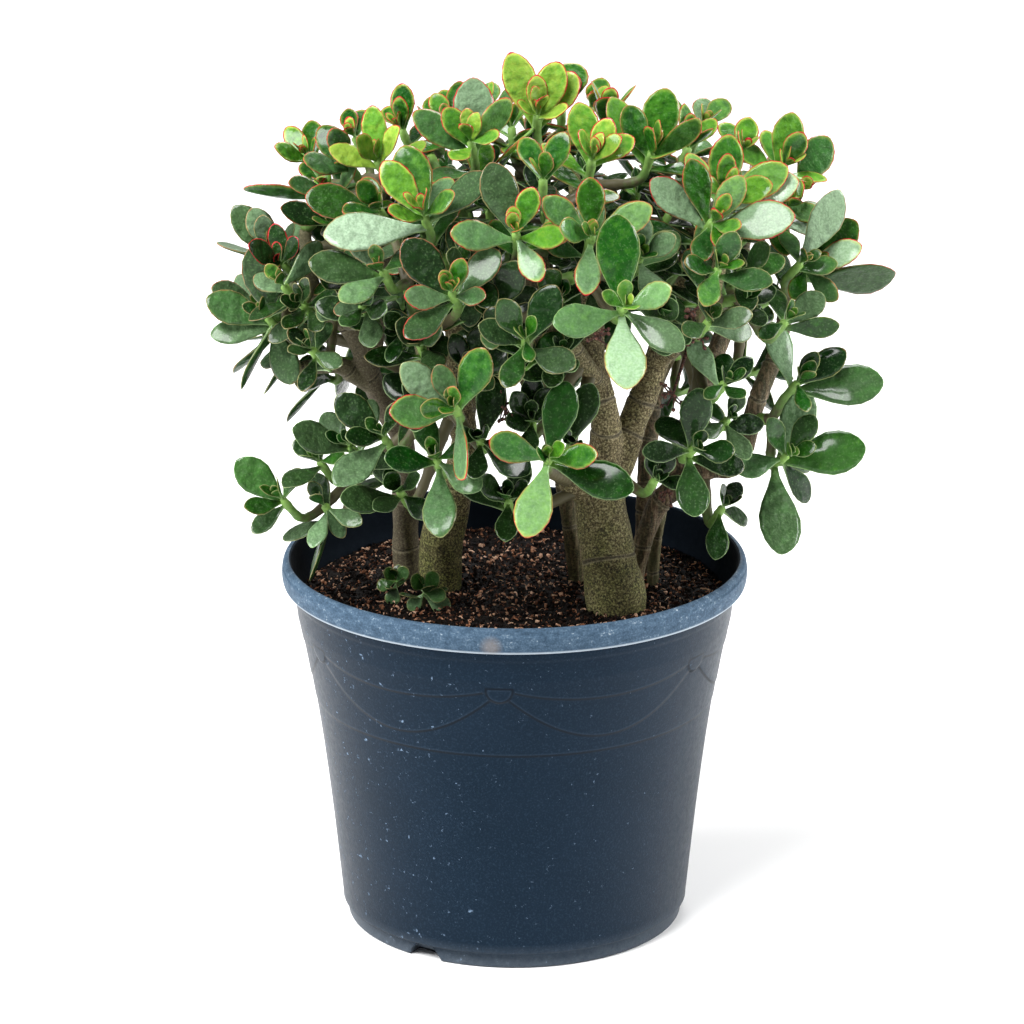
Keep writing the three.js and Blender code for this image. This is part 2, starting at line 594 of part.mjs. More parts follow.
// Half the width of a leaf at t along it, as a share of its greatest half width: a narrow neck
// that widens smoothly, then a rounded end that comes to a slight point.
function spread(t) {
  if (t < LEAF.widest) {
    const u = t / LEAF.widest;
    return LEAF.neck + (1 - LEAF.neck) * (u * u * (3 - 2 * u)) ** 1.1;
  }
  return Math.max(1 - ((t - LEAF.widest) / (1 - LEAF.widest)) ** 2, 0) ** LEAF.point;
}

// The point of a leaf's middle surface at t along it and s across it, raised by lift.
function leafPoint(leaf, t, s, lift = 0) {
  const half = (leaf.width / 2) * spread(t);
  const rise = leaf.arch * leaf.length * (t - t * t) + leaf.cup * half * s * s + lift;
  return leaf.base.clone()
    .addScaledVector(leaf.along, t * leaf.length)
    .addScaledVector(leaf.side, s * half)
    .addScaledVector(leaf.face, rise);
}

// A leaf as a closed solid: a point sunk past the stem's axis, a diamond section at each station,
// a blunt shoulder and a tip. Large leaves have one station more.
function leafSolid(leaf) {
  const stations = leaf.length >= LEAF.large ? [0.36, 0.68] : [0.6];
  const thick = leaf.length * LEAF.thickness;
  const points = [leaf.base.clone().addScaledVector(leaf.along, -leaf.sunk)];
  stations.forEach((t) => {
    points.push(leafPoint(leaf, t, -1), leafPoint(leaf, t, 0, thick / 2), leafPoint(leaf, t, 1),
      leafPoint(leaf, t, 0, -thick / 2));
  });
  const last = 4 * stations.length - 3;
  points.push(leafPoint(leaf, 0.9, -1), leafPoint(leaf, 0.9, 1), leafPoint(leaf, 1, 0));
  const [left, right, tip] = [last + 4, last + 5, last + 6];
  const triangles = [0, 1, 2, 3].map((k) => [0, 1 + ((k + 1) % 4), 1 + k]);
  for (let i = 1; i < last; i += 4) {
    for (let k = 0; k < 4; k += 1) {
      const l = (k + 1) % 4;
      triangles.push([i + k, i + l, i + 4 + l], [i + k, i + 4 + l, i + 4 + k]);
    }
  }
  const [a, b, c, d] = [last, last + 1, last + 2, last + 3];
  triangles.push([a, b, left], [b, tip, left], [b, right, tip], [b, c, right],
    [c, d, right], [d, tip, right], [d, left, tip], [d, a, left]);
  return solid(points, triangles);
}

function leafFrom(base, tip, axis, roll, draw) {
  const along = tip.clone().sub(base);
  const length = along.length();
  along.divideScalar(length);
  const face = axis.clone().addScaledVector(along, -axis.dot(along));
  if (face.length() < 0.2) face.copy(squareTo(along));
  face.normalize().applyAxisAngle(along, roll);
  return {
    base,
    along,
    face,
    side: along.clone().cross(face),
    length,
    sunk: LEAF.sunk,
    width: length * (LEAF.width + 0.1 * (draw[0] - 0.5)) + 2,
    arch: 0.16 * (draw[1] - 0.55),
    cup: 0.28 * draw[2],
  };
}

// The tip that shows at (x, y) in the view, a leaf's length from its base. Where the line of sight
// passes too far off, it is the point of that line nearest the base.
function tipAt(x, y, base, length, away) {
  const line = sightLine(x, y);
  const middle = base.clone().sub(EYE).dot(line);
  const nearest = EYE.clone().addScaledVector(line, middle);
  const spare = Math.sqrt(Math.max(length ** 2 - nearest.distanceToSquared(base), 0));
  return nearest.addScaledVector(line, away ? spare : -spare);
}

// A rosette's wanted leaves: those of its list, then the rule's opposite pairs, each turned a
// quarter from the last, where the list has none and they don't stand before the listed ones.
function wantedLeaves(rosette, random) {
  const { heart, axis, leaf, roll, tips } = rosette;
  const toEye = EYE.clone().sub(heart).normalize();
  const lit = axis.clone().addScaledVector(toEye, 0.6).normalize();
  const byLength = tips.slice().sort((a, b) => Math.abs(a[2]) - Math.abs(b[2]));
  const wanted = tips.map((entry) => {
    const [x, y, reach, turn = 0] = entry;
    const base = heart.clone().addScaledVector(axis, -LEAF.node * byLength.indexOf(entry));
    const tip = tipAt(x, y, base, Math.abs(reach), reach < 0);
    return leafFrom(base, tip, lit, radians(turn), [random(), random(), random()]);
  });
  const across = squareTo(axis);
  const other = axis.clone().cross(across);
  const listed = wanted.length;
  [[80, 1, 15], [60, 0.88, 8], [36, 0.62, 1]].forEach(([open, size, down], pair) => {
    [0, Math.PI].forEach((half) => {
      const turn = roll + pair * (Math.PI / 2) + half + 0.35 * (random() - 0.5);
      const tilt = radians(open + 14 * (random() - 0.5));
      const length = leaf * size * (0.9 + 0.2 * random());
      const draw = [random(), random(), random()];
      const way = axis.clone().multiplyScalar(Math.cos(tilt))
        .addScaledVector(across, Math.cos(turn) * Math.sin(tilt))
        .addScaledVector(other, Math.sin(turn) * Math.sin(tilt));
      const base = heart.clone().addScaledVector(axis, -down);
      const met = wanted.slice(0, listed).some((w) => w.along.dot(way) > 0.72);
      if (met || (listed > 0 && way.dot(toEye) > 0.1)) return;
      wanted.push(leafFrom(base, base.clone().addScaledVector(way, length), axis, 0, draw));
    });
  });
  return wanted;
}

// ---- keeping clear -----------------------------------------------------------------------------

// What already stands, as balls: each is { point, radius, owner }.
class Thicket {
  constructor() {
    this.balls = [];
  }

  add(points, radius, owner) {
    points.forEach((point) => this.balls.push({ point, radius, owner }));
  }

  near(centre, reach) {
    return this.balls.filter((ball) => ball.point.distanceTo(centre) < reach + ball.radius);
  }
}

// Whether every point keeps its distance. Within one spray the leaves may come closer.
function isClear(points, radius, owner, balls) {
  return points.every((point) => balls.every((ball) => {
    const need = (radius + ball.radius) * (ball.owner === owner ? 0.62 : 1);
    return point.distanceToSquared(ball.point) > need * need;
  }));
}

// Points spread over a leaf's middle surface, from past its neck to its tip.
function leafSamples(leaf) {
  const steps = Math.max(Math.round(leaf.length / LEAF.sample), 4);
  const samples = [];
  for (let i = 2; i <= steps; i += 1) {
    [-0.9, -0.45, 0, 0.45, 0.9].forEach((s) => samples.push(leafPoint(leaf, i / steps, s)));
  }
  return samples;
}

// A leaf bent from its base: lifted about its side, swung about its face, and made smaller.
function bent(leaf, lift, swing, size) {
  const along = leaf.along.clone().applyAxisAngle(leaf.side, radians(lift));
  const face = leaf.face.clone().applyAxisAngle(leaf.side, radians(lift));
  along.applyAxisAngle(face, radians(swing));
  return {
    ...leaf,
    along,
    face,
    side: along.clone().cross(face),
    length: leaf.length * size,
    width: leaf.width * size,
  };
}

const BENDS = [[0, 0]];
[7, 14, 22, 31, 42].forEach((step) => {
  BENDS.push([-step, 0], [step, 0], [0, step], [0, -step], [-step, step], [step, -step],
    [-step, -step], [step, step]);
});

// The first way of bending a leaf that is clear of everything, or null.
function clearLeaf(leaf, owner, thicket) {
  const balls = thicket.near(leaf.base, leaf.length + LEAF.clearance);
  for (const size of [1, 0.85, 0.7]) {
    for (const [lift, swing] of BENDS) {
      const tried = bent(leaf, lift, swing, size);
      if (isClear(leafSamples(tried), LEAF.clearance, owner, balls)) return tried;
    }
  }
  return null;
}

// ---- sprays ------------------------------------------------------------------------------------

const SPRAY = { most: 48, hearts: 3, start: 300, thickest: 13.5, farthest: 130, tries: 60 };

const middleOf = (group) => group.reduce((sum, r) => sum.add(r.heart), vec(0, 0, 0))
  .divideScalar(group.length);

// Rosettes that lie near each other grow from one forked green stem: the nearest groups are joined
// until few enough are left, with no more than three hearts to a stem.
function groupedRosettes(rosettes) {
  const groups = rosettes.map((r) => [r]);
  while (groups.length > SPRAY.most) {
    let best = { gap: Infinity };
    groups.forEach((a, i) => groups.slice(i + 1).forEach((b) => {
      if (a.length + b.length > SPRAY.hearts) return;
      const gap = middleOf(a).distanceTo(middleOf(b));
      if (gap < best.gap) best = { a, b, gap };
    }));
    best.a.push(...best.b);
    groups.splice(groups.indexOf(best.b), 1);
  }
  return groups;
}

function bezier(a, b, c, d, steps) {
  const points = [];
  for (let i = 0; i <= steps; i += 1) {
    const t = i / steps;
    const u = 1 - t;
    points.push(a.clone().multiplyScalar(u * u * u)
      .addScaledVector(b, 3 * u * u * t)
      .addScaledVector(c, 3 * u * t * t)
      .addScaledVector(d, t * t * t));
  }
  return points;
}

// The green stems of a spray that is rooted in the wood at a point: one to the fork, and from
// there one to each heart, which it reaches along the rosette's axis.
function sprayStems(root, group, steps) {
  const middle = middleOf(group);
  const fork = group.length === 1 ? root.clone() : root.clone().lerp(middle, 0.42);
  const start = middle.clone().sub(root).normalize();
  const stems = group.map(({ heart, axis }) => {
    const neck = heart.clone().addScaledVector(axis, -STEM.neck);
    const span = neck.distanceTo(fork);
    const points = [...bezier(fork, fork.clone().addScaledVector(start, 0.3 * span),
      neck.clone().addScaledVector(axis, -0.3 * span), neck, steps), heart];
    const first = group.length === 1 ? STEM.root : STEM.fork;
    const radii = points.map((p, i) => first + ((STEM.tip - first) * Math.min(i / steps, 1)));
    return { points, radii };
  });
  if (group.length > 1) {
    const past = fork.clone().addScaledVector(start, 2);
    stems.push({ points: [root.clone(), past], radii: [STEM.root, STEM.fork] });
  }
  return stems;
}

// Balls along a stem, about 4 mm apart.
function stemSamples(stem) {
  const samples = [];
  stem.points.slice(0, -1).forEach((a, i) => {
    const b = stem.points[i + 1];
    const steps = Math.ceil(a.distanceTo(b) / 4);
    for (let k = 0; k < steps; k += 1) samples.push(a.clone().lerp(b, k / steps));
  });
  return samples;
}

// How long a group's stems would be from a place on the wood, more where they'd have to turn back.
function rootCost(group, place) {
  return group.reduce((sum, { heart, axis }) => {
    const way = heart.clone().sub(place.point);
    return sum + way.length() * (1.35 - 0.35 * way.normalize().dot(axis));
  }, 0) / group.length;
}

// The end of every limb carries the group that suits it best.
function groupsAtEnds(groups, wood) {
  const chosen = new Map();
  Object.entries(wood).forEach(([owner, axes]) => axes.forEach((axis) => {
    const { point, radius } = axis[axis.length - 1];
    const place = { owner, point, radius };
    const free = groups.filter((group) => !chosen.has(group));
    free.sort((a, b) => rootCost(a, place) - rootCost(b, place));
    if (rootCost(free[0], place) < SPRAY.farthest) chosen.set(free[0], place);
  }));
  return chosen;
}

// How near the stems from a place would come to anything but the wood that they grow from.
function leastRoom(stems, place, thicket) {
  return Math.min(...stems.flatMap(stemSamples).flatMap((sample) => {
    const atRoot = sample.distanceTo(place.point) < place.radius + 9;
    return thicket.near(sample, 12).filter((ball) => !(atRoot && ball.owner === place.owner))
      .map((ball) => sample.distanceTo(ball.point) - ball.radius - STEM.root);
  }), Infinity);
}

// Every spray's root is the end of a limb that wants it, or the place on the wood from which its
// stems run shortest and clear.
function rootedSprays(groups, wood, thicket) {
  const ends = groupsAtEnds(groups, wood);
  const places = Object.entries(wood).flatMap(([owner, axes]) => axes.flat()
    .filter(({ point, radius }) => point.z > SPRAY.start && radius < SPRAY.thickest)
    .map(({ point, radius }) => ({ owner, point, radius })));
  return groups.map((group, index) => {
    const owner = `leafy_spray_${String(index + 1).padStart(2, '0')}`;
    const ranked = places.map((place) => ({ place, cost: rootCost(group, place) }))
      .sort((a, b) => a.cost - b.cost).slice(0, SPRAY.tries).map(({ place }) => place);
    if (ends.has(group)) ranked.unshift(ends.get(group));
    let best = { room: -Infinity };
    for (const place of ranked) {
      const stems = sprayStems(place.point, group, STEM.steps);
      const room = leastRoom(stems, place, thicket);
      if (room > best.room) best = { place, stems, room };
      if (room > GAP) break;
    }
    best.stems.forEach((stem) => thicket.add(stemSamples(stem), STEM.fork, owner));
    return { owner, group, root: best.place, stems: best.stems, leaves: [] };
  });
}

// ---- growing the plant -------------------------------------------------------------------------

const GROW_SEED = 7;

function growPlant() {
  const thicket = new Thicket();
  const wood = {};
  Object.entries(LIMBS).forEach(([name, routes]) => {
    wood[name] = routes.map((route) => limbAxis(route, 6));
    wood[name].flat().forEach(({ point, radius }) => thicket.add([point], radius + 0.5, name));
  });
  const rosettes = allRosettes();
  const sprays = rootedSprays(groupedRosettes(rosettes), wood, thicket);
  const random = makeRandom(GROW_SEED);
  rosettes.forEach((rosette) => {
    const spray = sprays.find(({ group }) => group.includes(rosette));
    wantedLeaves(rosette, random).forEach((wanted) => {
      const leaf = clearLeaf(wanted, spray.owner, thicket);
      if (!leaf) return;
      thicket.add(leafSamples(leaf), LEAF.clearance, spray.owner);
      spray.leaves.push(leaf);
    });
  });
  return sprays;
}

// ---- seedlings ---------------------------------------------------------------------------------

const SEEDLINGS = [
  { name: 'seedling_front', foot: [424, 612, -34], height: 16, leaf: 20, pairs: 3, roll: 0.4 },
  { name: 'seedling_back', foot: [396, 600, -14], height: 17, leaf: 15, pairs: 3, roll: 1.2 },
];
const SPROUT = { radius: 1.5, root: 12, rise: 4, sunk: 0.9 };

// A short stem with opposite pairs of leaves, each pair a quarter turn on and steeper.
function seedling({ foot, height, leaf, pairs, roll }) {
  const base = seen(...foot).setZ(SOIL.level - SPROUT.root);
  const top = base.clone().setZ(SOIL.level + height);
  const pieces = [tube([base, top], [SPROUT.radius, SPROUT.radius], 5)];
  for (let pair = 0; pair < pairs; pair += 1) {
    const tilt = radians(74 - 20 * pair);
    const heart = top.clone().setZ(top.z - 1 - SPROUT.rise * (pairs - 1 - pair));
    [0, Math.PI].forEach((half) => {
      const turn = roll + (Math.PI / 2) * pair + half;
      const way = vec(Math.cos(turn) * Math.sin(tilt), Math.sin(turn) * Math.sin(tilt),
        Math.cos(tilt));
      const tip = heart.clone().addScaledVector(way, leaf * (1 - 0.15 * pair));
      const grown = leafFrom(heart, tip, vec(0, 0, 1), 0, [0.9, 0.4, 0.6]);
      pieces.push(leafSolid({ ...grown, sunk: SPROUT.sunk }));
    });
  }
  return tidied(fuse(pieces), [0.05, 0.03, 0.01]);
}

function seedlingHole({ foot }) {
  const base = seen(...foot).setZ(SOIL.level - SPROUT.root - GAP);
  const radius = SPROUT.radius + 2 * GAP;
  return tube([base, base.clone().setZ(SOIL.level + SPROUT.root)], [radius, radius], 5);
}

// ---- the whole ---------------------------------------------------------------------------------

const group = new THREE.Group();
const woodNames = Object.keys(LIMBS);
const fatWood = Object.fromEntries(woodNames.map((name) => [name, woodSolid(name, GAP)]));

group.add(toMesh('pot', pot(), COLOURS.pot, 0.5));
group.add(toMesh('soil', soil([...Object.values(fatWood), ...SEEDLINGS.map(seedlingHole)]),
  COLOURS.soil, 1));
woodNames.forEach((name) => group.add(toMesh(name, woodSolid(name), COLOURS.bark, 0.85)));
SEEDLINGS.forEach((entry) => {
  group.add(toMesh(entry.name, seedling(entry), COLOURS.seedling, 0.45));
});

// How coarsely a spray's fused body may be simplified before it is cut, and then again after.
const COARSE = [0.5, 0.45, 0.4, 0.35, 0.3, 0.25, 0.2, 0.15, 0.1, 0.05, 0.02];
const FINE = [0.03, 0.01];

// A solid less the wood, with room round it.
function clearOfWood(whole) {
  return largest(woodNames.reduce((rest, name) => rest.subtract(fatWood[name]), whole));
}

// A spray's solid: its stems and larger leaves as one body, parted from the wood it grows on.
function spraySolid({ stems, leaves }) {
  const coarse = (list) => list.filter((item, i) => i % 2 === 0 || i === list.length - 1);
  const green = fuse([
    ...stems.map(({ points, radii }) => tube(coarse(points), coarse(radii), STEM.sides)),
    ...leaves.filter(({ length }) => length >= LEAF.least).map(leafSolid),
  ]).asOriginal();
  for (const tolerance of COARSE) {
    const cut = tidied(clearOfWood(green.simplify(tolerance)), FINE);
    if (cornersApart(cut)) return cut;
  }
  return clearOfWood(green);
}

growPlant().forEach((spray) => {
  group.add(toMesh(spray.owner, spraySolid(spray), COLOURS.leaf, 0.4));
});

export default group;
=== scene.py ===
"""A potted jade plant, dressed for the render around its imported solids.

Lengths are millimetres in the frame of the solids (+Z up, the origin under the middle of the pot)
until a mesh is made, which turns them to metres. The plant is grown by the rule that shaped its
solids, from the same named values and the same seeded draws, so that each fine leaf lies where the
solid leaf does; then come the small leaves, the inner shoots and the surface detail.
"""

import functools
import math

import bpy
import numpy as np
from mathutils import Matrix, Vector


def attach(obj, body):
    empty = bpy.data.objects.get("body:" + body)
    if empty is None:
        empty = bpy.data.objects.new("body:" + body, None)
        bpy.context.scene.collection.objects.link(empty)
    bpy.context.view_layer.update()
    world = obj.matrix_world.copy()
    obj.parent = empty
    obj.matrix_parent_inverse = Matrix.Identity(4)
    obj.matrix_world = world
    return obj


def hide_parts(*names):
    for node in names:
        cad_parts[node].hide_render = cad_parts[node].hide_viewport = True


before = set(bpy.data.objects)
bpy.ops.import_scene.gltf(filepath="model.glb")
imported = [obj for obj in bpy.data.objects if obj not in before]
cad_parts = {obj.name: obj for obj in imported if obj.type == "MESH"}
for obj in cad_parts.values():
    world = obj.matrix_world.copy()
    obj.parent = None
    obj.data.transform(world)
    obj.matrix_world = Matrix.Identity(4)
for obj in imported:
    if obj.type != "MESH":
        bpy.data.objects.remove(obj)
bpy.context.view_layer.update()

MM = 0.001

# ---- sizes, in mm --------------------------------------------------------------------------------

# Radii and heights of the pot; its festoons with the azimuth of the first knob, its notches with
# that of the first, how wide the relief's soft steps are and how many points lie round the pot.
POT = dict(height=275, rim=170, lip=18.4, floor=4, foot=123.5, foot_height=12, belly=128,
           neck=158, neck_height=232, swags=6, first_knob=-94, knob_height=224, knob_radius=9.5,
           sag=40, upper_sag=9, ring_height=172, notch_width=26, notch_height=11, notches=2,
           first_notch=-122, step=1.3, around=520)
SOIL_LEVEL = 245

# The least room between a stem and what it passes.
GAP = 0.4

# The photograph's camera: its eye, how far it looks down, its focal length and the middle of its
# square picture, both in picture units.
EYE = np.array([-1.9, -3400.0, 1400.5])
PITCH = math.radians(17.83)
FOCAL = 4908
MIDDLE = 512

# The dome on which the hearts of the outer rosettes lie.
CROWN_CENTRE = np.array([17.0, 0.0, 455.0])
CROWN_RADII = np.array([197.0, 165.0, 150.0])

# A leaf's width, thickness and widest place as shares of its length, its neck as one of its width
# and how full its end is; then how far apart its samples are, what it keeps clear by, the share
# of that within one spray, how deep its root is sunk and how far apart the nodes are.
LEAF = dict(width=0.43, thickness=0.07, neck=0.14, widest=0.65, point=0.62, sample=5.2,
            clearance=2.55, kin=0.62, sunk=2.6, node=2.3)

# A green stem's radii, and how far before the heart it points along the rosette's axis.
STEM = dict(root=4.8, fork=4.2, tip=3.1, neck=18)

# The room that the bark needs round a limb's smooth axis.
BARK_ROOM = 0.5

# ---- vectors, sight lines and seeded draws -------------------------------------------------------


def unit(vector):
    return vector / np.linalg.norm(vector)


def turned(vector, axis, angle):
    """The vector turned about a unit axis: its part along the axis stays, the rest turns."""
    c, s = math.cos(angle), math.sin(angle)
    return vector * c + np.cross(axis, vector) * s + axis * (axis @ vector) * (1 - c)


def square_to(direction):
    """Any direction square to the given one."""
    helper = np.array([0.0, 0.0, 1.0] if abs(direction[2]) < 0.9 else [1.0, 0.0, 0.0])
    return unit(np.cross(helper, direction))


def sight_line(x, y):
    """The way from the eye through picture point (x, y)."""
    across, up = (x - MIDDLE) / FOCAL, (MIDDLE - y) / FOCAL
    c, s = math.cos(PITCH), math.sin(PITCH)
    return unit(np.array([across, c + up * s, up * c - s]))


def seen(x, y, depth):
    """The point that shows at (x, y) and lies at the depth y = depth."""
    line = sight_line(x, y)
    return EYE + line * ((depth - EYE[1]) / line[1])


def picture_place(points):
    """Where points show in the photograph, as columns of x and y."""
    way = points - EYE
    c, s = math.cos(PITCH), math.sin(PITCH)
    ahead = way[:, 1] * c - way[:, 2] * s
    return np.column_stack([MIDDLE + FOCAL * way[:, 0] / ahead,
                            MIDDLE - FOCAL * (way[:, 1] * s + way[:, 2] * c) / ahead])


def on_crown(x, y, behind):
    """The point that shows at (x, y) on the near side of the crown's dome, moved back."""
    line = sight_line(x, y)
    d, e = line / CROWN_RADII, (EYE - CROWN_CENTRE) / CROWN_RADII
    a, b, c = d @ d, d @ e, e @ e - 1
    return EYE + line * ((-b - math.sqrt(max(b * b - a * c, 0))) / a + behind)


def draws(seed):
    """Numbers from 0 to 1 from a seed: a counter whose 32 bits are mixed by shifts and products."""
    mask = 0xFFFFFFFF
    state = seed
    while True:
        state = (state + 0x6D2B79F5) & mask
        t = ((state ^ (state >> 15)) * (state | 1)) & mask
        t ^= (t + (((t ^ (t >> 7)) * (t | 61)) & mask)) & mask
        yield ((t ^ (t >> 14)) & mask) / 4294967296


# ---- wood: routes of the limbs -------------------------------------------------------------------

# A limb's route: knots seen in the photograph as (x, y, depth, radius), or placed in the plant's
# own space as at(x, y, z, radius) where no view shows them.


def at(x, y, z, radius):
    return {"at": (x, y, z, radius)}


LIMBS = {
    "trunk_right_front": [
        [(615, 655, -37, 18), (616, 622, -37, 20.5), (616, 594, -35, 22.6),
         (609, 560, -31, 20.2), (602, 520, -27, 19.6), (600, 487, -24, 19),
         (601, 466, -24, 15)],
        [(602, 490, -24, 13.5), (606, 430, -30, 11.5), (600, 395, -34, 10.5),
         (592, 350, -34, 9.5), at(55, -28, 470, 8), at(48, -20, 520, 6.5), at(42, -10, 562, 5)],
        [(604, 492, -20, 14), (622, 452, -17, 12), (634, 420, -12, 10.8), (650, 380, -4, 10),
         at(118, 8, 470, 8.5), at(130, 15, 520, 7), at(138, 20, 562, 5)],
        [at(62, -32, 412, 8), at(48, -66, 440, 7), at(28, -92, 480, 6), at(18, -98, 525, 5)],
        [at(104, -6, 425, 8), at(122, -42, 452, 7), at(138, -74, 490, 6), at(146, -80, 530, 5)],
        [(592, 500, -26, 9), (574, 486, -36, 8.5), (567, 480, -40, 8)],
    ],
    "trunk_right_back": [
        [(632, 618, 2, 8), (635, 574, 2, 7.4), (642, 546, 2, 7.2), (648, 528, 2, 7.6),
         (658, 504, 2, 8.2), (680, 484, 0, 8.6), (712, 468, -6, 8), (738, 462, -10, 7.5),
         at(176, -8, 398, 7), at(192, 0, 440, 6), at(196, 4, 480, 5)],
        [(672, 494, 2, 9), at(130, 22, 380, 8), at(152, 44, 430, 7), at(165, 60, 480, 6),
         at(168, 66, 530, 5)],
        [(652, 600, 22, 4.6), (653, 570, 22, 4.6), (657, 535, 17, 4.6), (664, 498, 5, 4.6)],
    ],
    "trunk_right_inner": [
        [at(95, 46, 205, 8.5), at(96, 46, 262, 8), at(97, 47, 310, 7.5), at(100, 58, 360, 7),
         at(110, 84, 420, 6.5), at(112, 104, 475, 5.8), at(108, 108, 530, 4.8)],
        [at(104, 70, 385, 6), at(128, 96, 425, 5.5), at(148, 108, 465, 4.8)],
    ],
    "trunk_middle": [
        [(577, 612, 28, 7), (577, 580, 28, 6.5), (569, 520, 22, 6.2), (560, 470, 15, 6),
         (545, 410, 5, 5.8), at(16, 15, 450, 5.5), at(8, 35, 500, 5), at(4, 52, 550, 4.5)],
        [(548, 420, 7, 5.6), at(0, -36, 432, 5.2), at(-14, -72, 470, 4.8)],
        [(545, 410, 5, 5.6), at(28, 60, 425, 5.4), at(24, 98, 465, 5), at(22, 112, 515, 4.6)],
    ],
    "trunk_left_front": [
        [(440, 630, 17, 14), (441, 592, 17, 15.6), (441, 565, 17, 16.2), (442, 538, 16, 16.8),
         (448, 510, 14, 15.4), (457, 484, 11, 13), (463, 458, 8, 11), (464, 430, 5, 10),
         (458, 385, 0, 9), (455, 330, -2, 8), at(-48, 0, 505, 6.5), at(-54, 5, 555, 5)],
        [(464, 440, 5, 9), at(-46, -42, 398, 7), at(-60, -80, 430, 6), at(-68, -92, 475, 5)],
        [(463, 432, 5, 9), at(-35, 45, 412, 7.5), at(-42, 84, 452, 6.5), at(-48, 104, 500, 5)],
    ],
    "trunk_left_back": [
        [(410, 620, 44, 11), (409, 583, 44, 10.6), (406, 545, 42, 10.2), (405, 510, 36, 9.8),
         (404, 470, 27, 9.3), (401, 436, 18, 9), (388, 412, 8, 8.6), (371, 380, 0, 8),
         (361, 350, -6, 7.5), (347, 325, -10, 7), at(-142, -10, 472, 6), at(-150, -5, 520, 5)],
        [(370, 384, 0, 7), (352, 374, -6, 6.5), (338, 366, -12, 6), at(-158, -22, 422, 5)],
        [(392, 418, 10, 8), at(-106, 50, 402, 7), at(-122, 84, 442, 6), at(-126, 98, 492, 5)],
        [(369, 376, 0, 7.5), at(-98, 12, 455, 7), at(-92, 15, 512, 6), at(-96, 12, 556, 5)],
    ],
}


def limb_axis(route, steps):
    """The limb's axis as rows of x, y, z, radius.

    Between each two knots b and c, with a before and d after, runs the cubic that passes through
    both with the slopes (c - a) / 2 and (d - b) / 2."""
    knots = np.array([k["at"] if isinstance(k, dict) else (*seen(*k[:3]), k[3]) for k in route])
    padded = np.vstack([knots[:1], knots, knots[-1:]])
    a, b, c, d = (padded[i:len(knots) - 1 + i, None, :] for i in range(4))
    t = (np.arange(steps) / steps)[None, :, None]
    curve = 0.5 * (2 * b + (c - a) * t + (2 * a - 5 * b + 4 * c - d) * t ** 2
                   + (3 * b - a - 3 * c + d) * t ** 3)
    return np.vstack([curve.reshape(-1, 4), knots[-1:]])


# ---- rosettes ------------------------------------------------------------------------------------

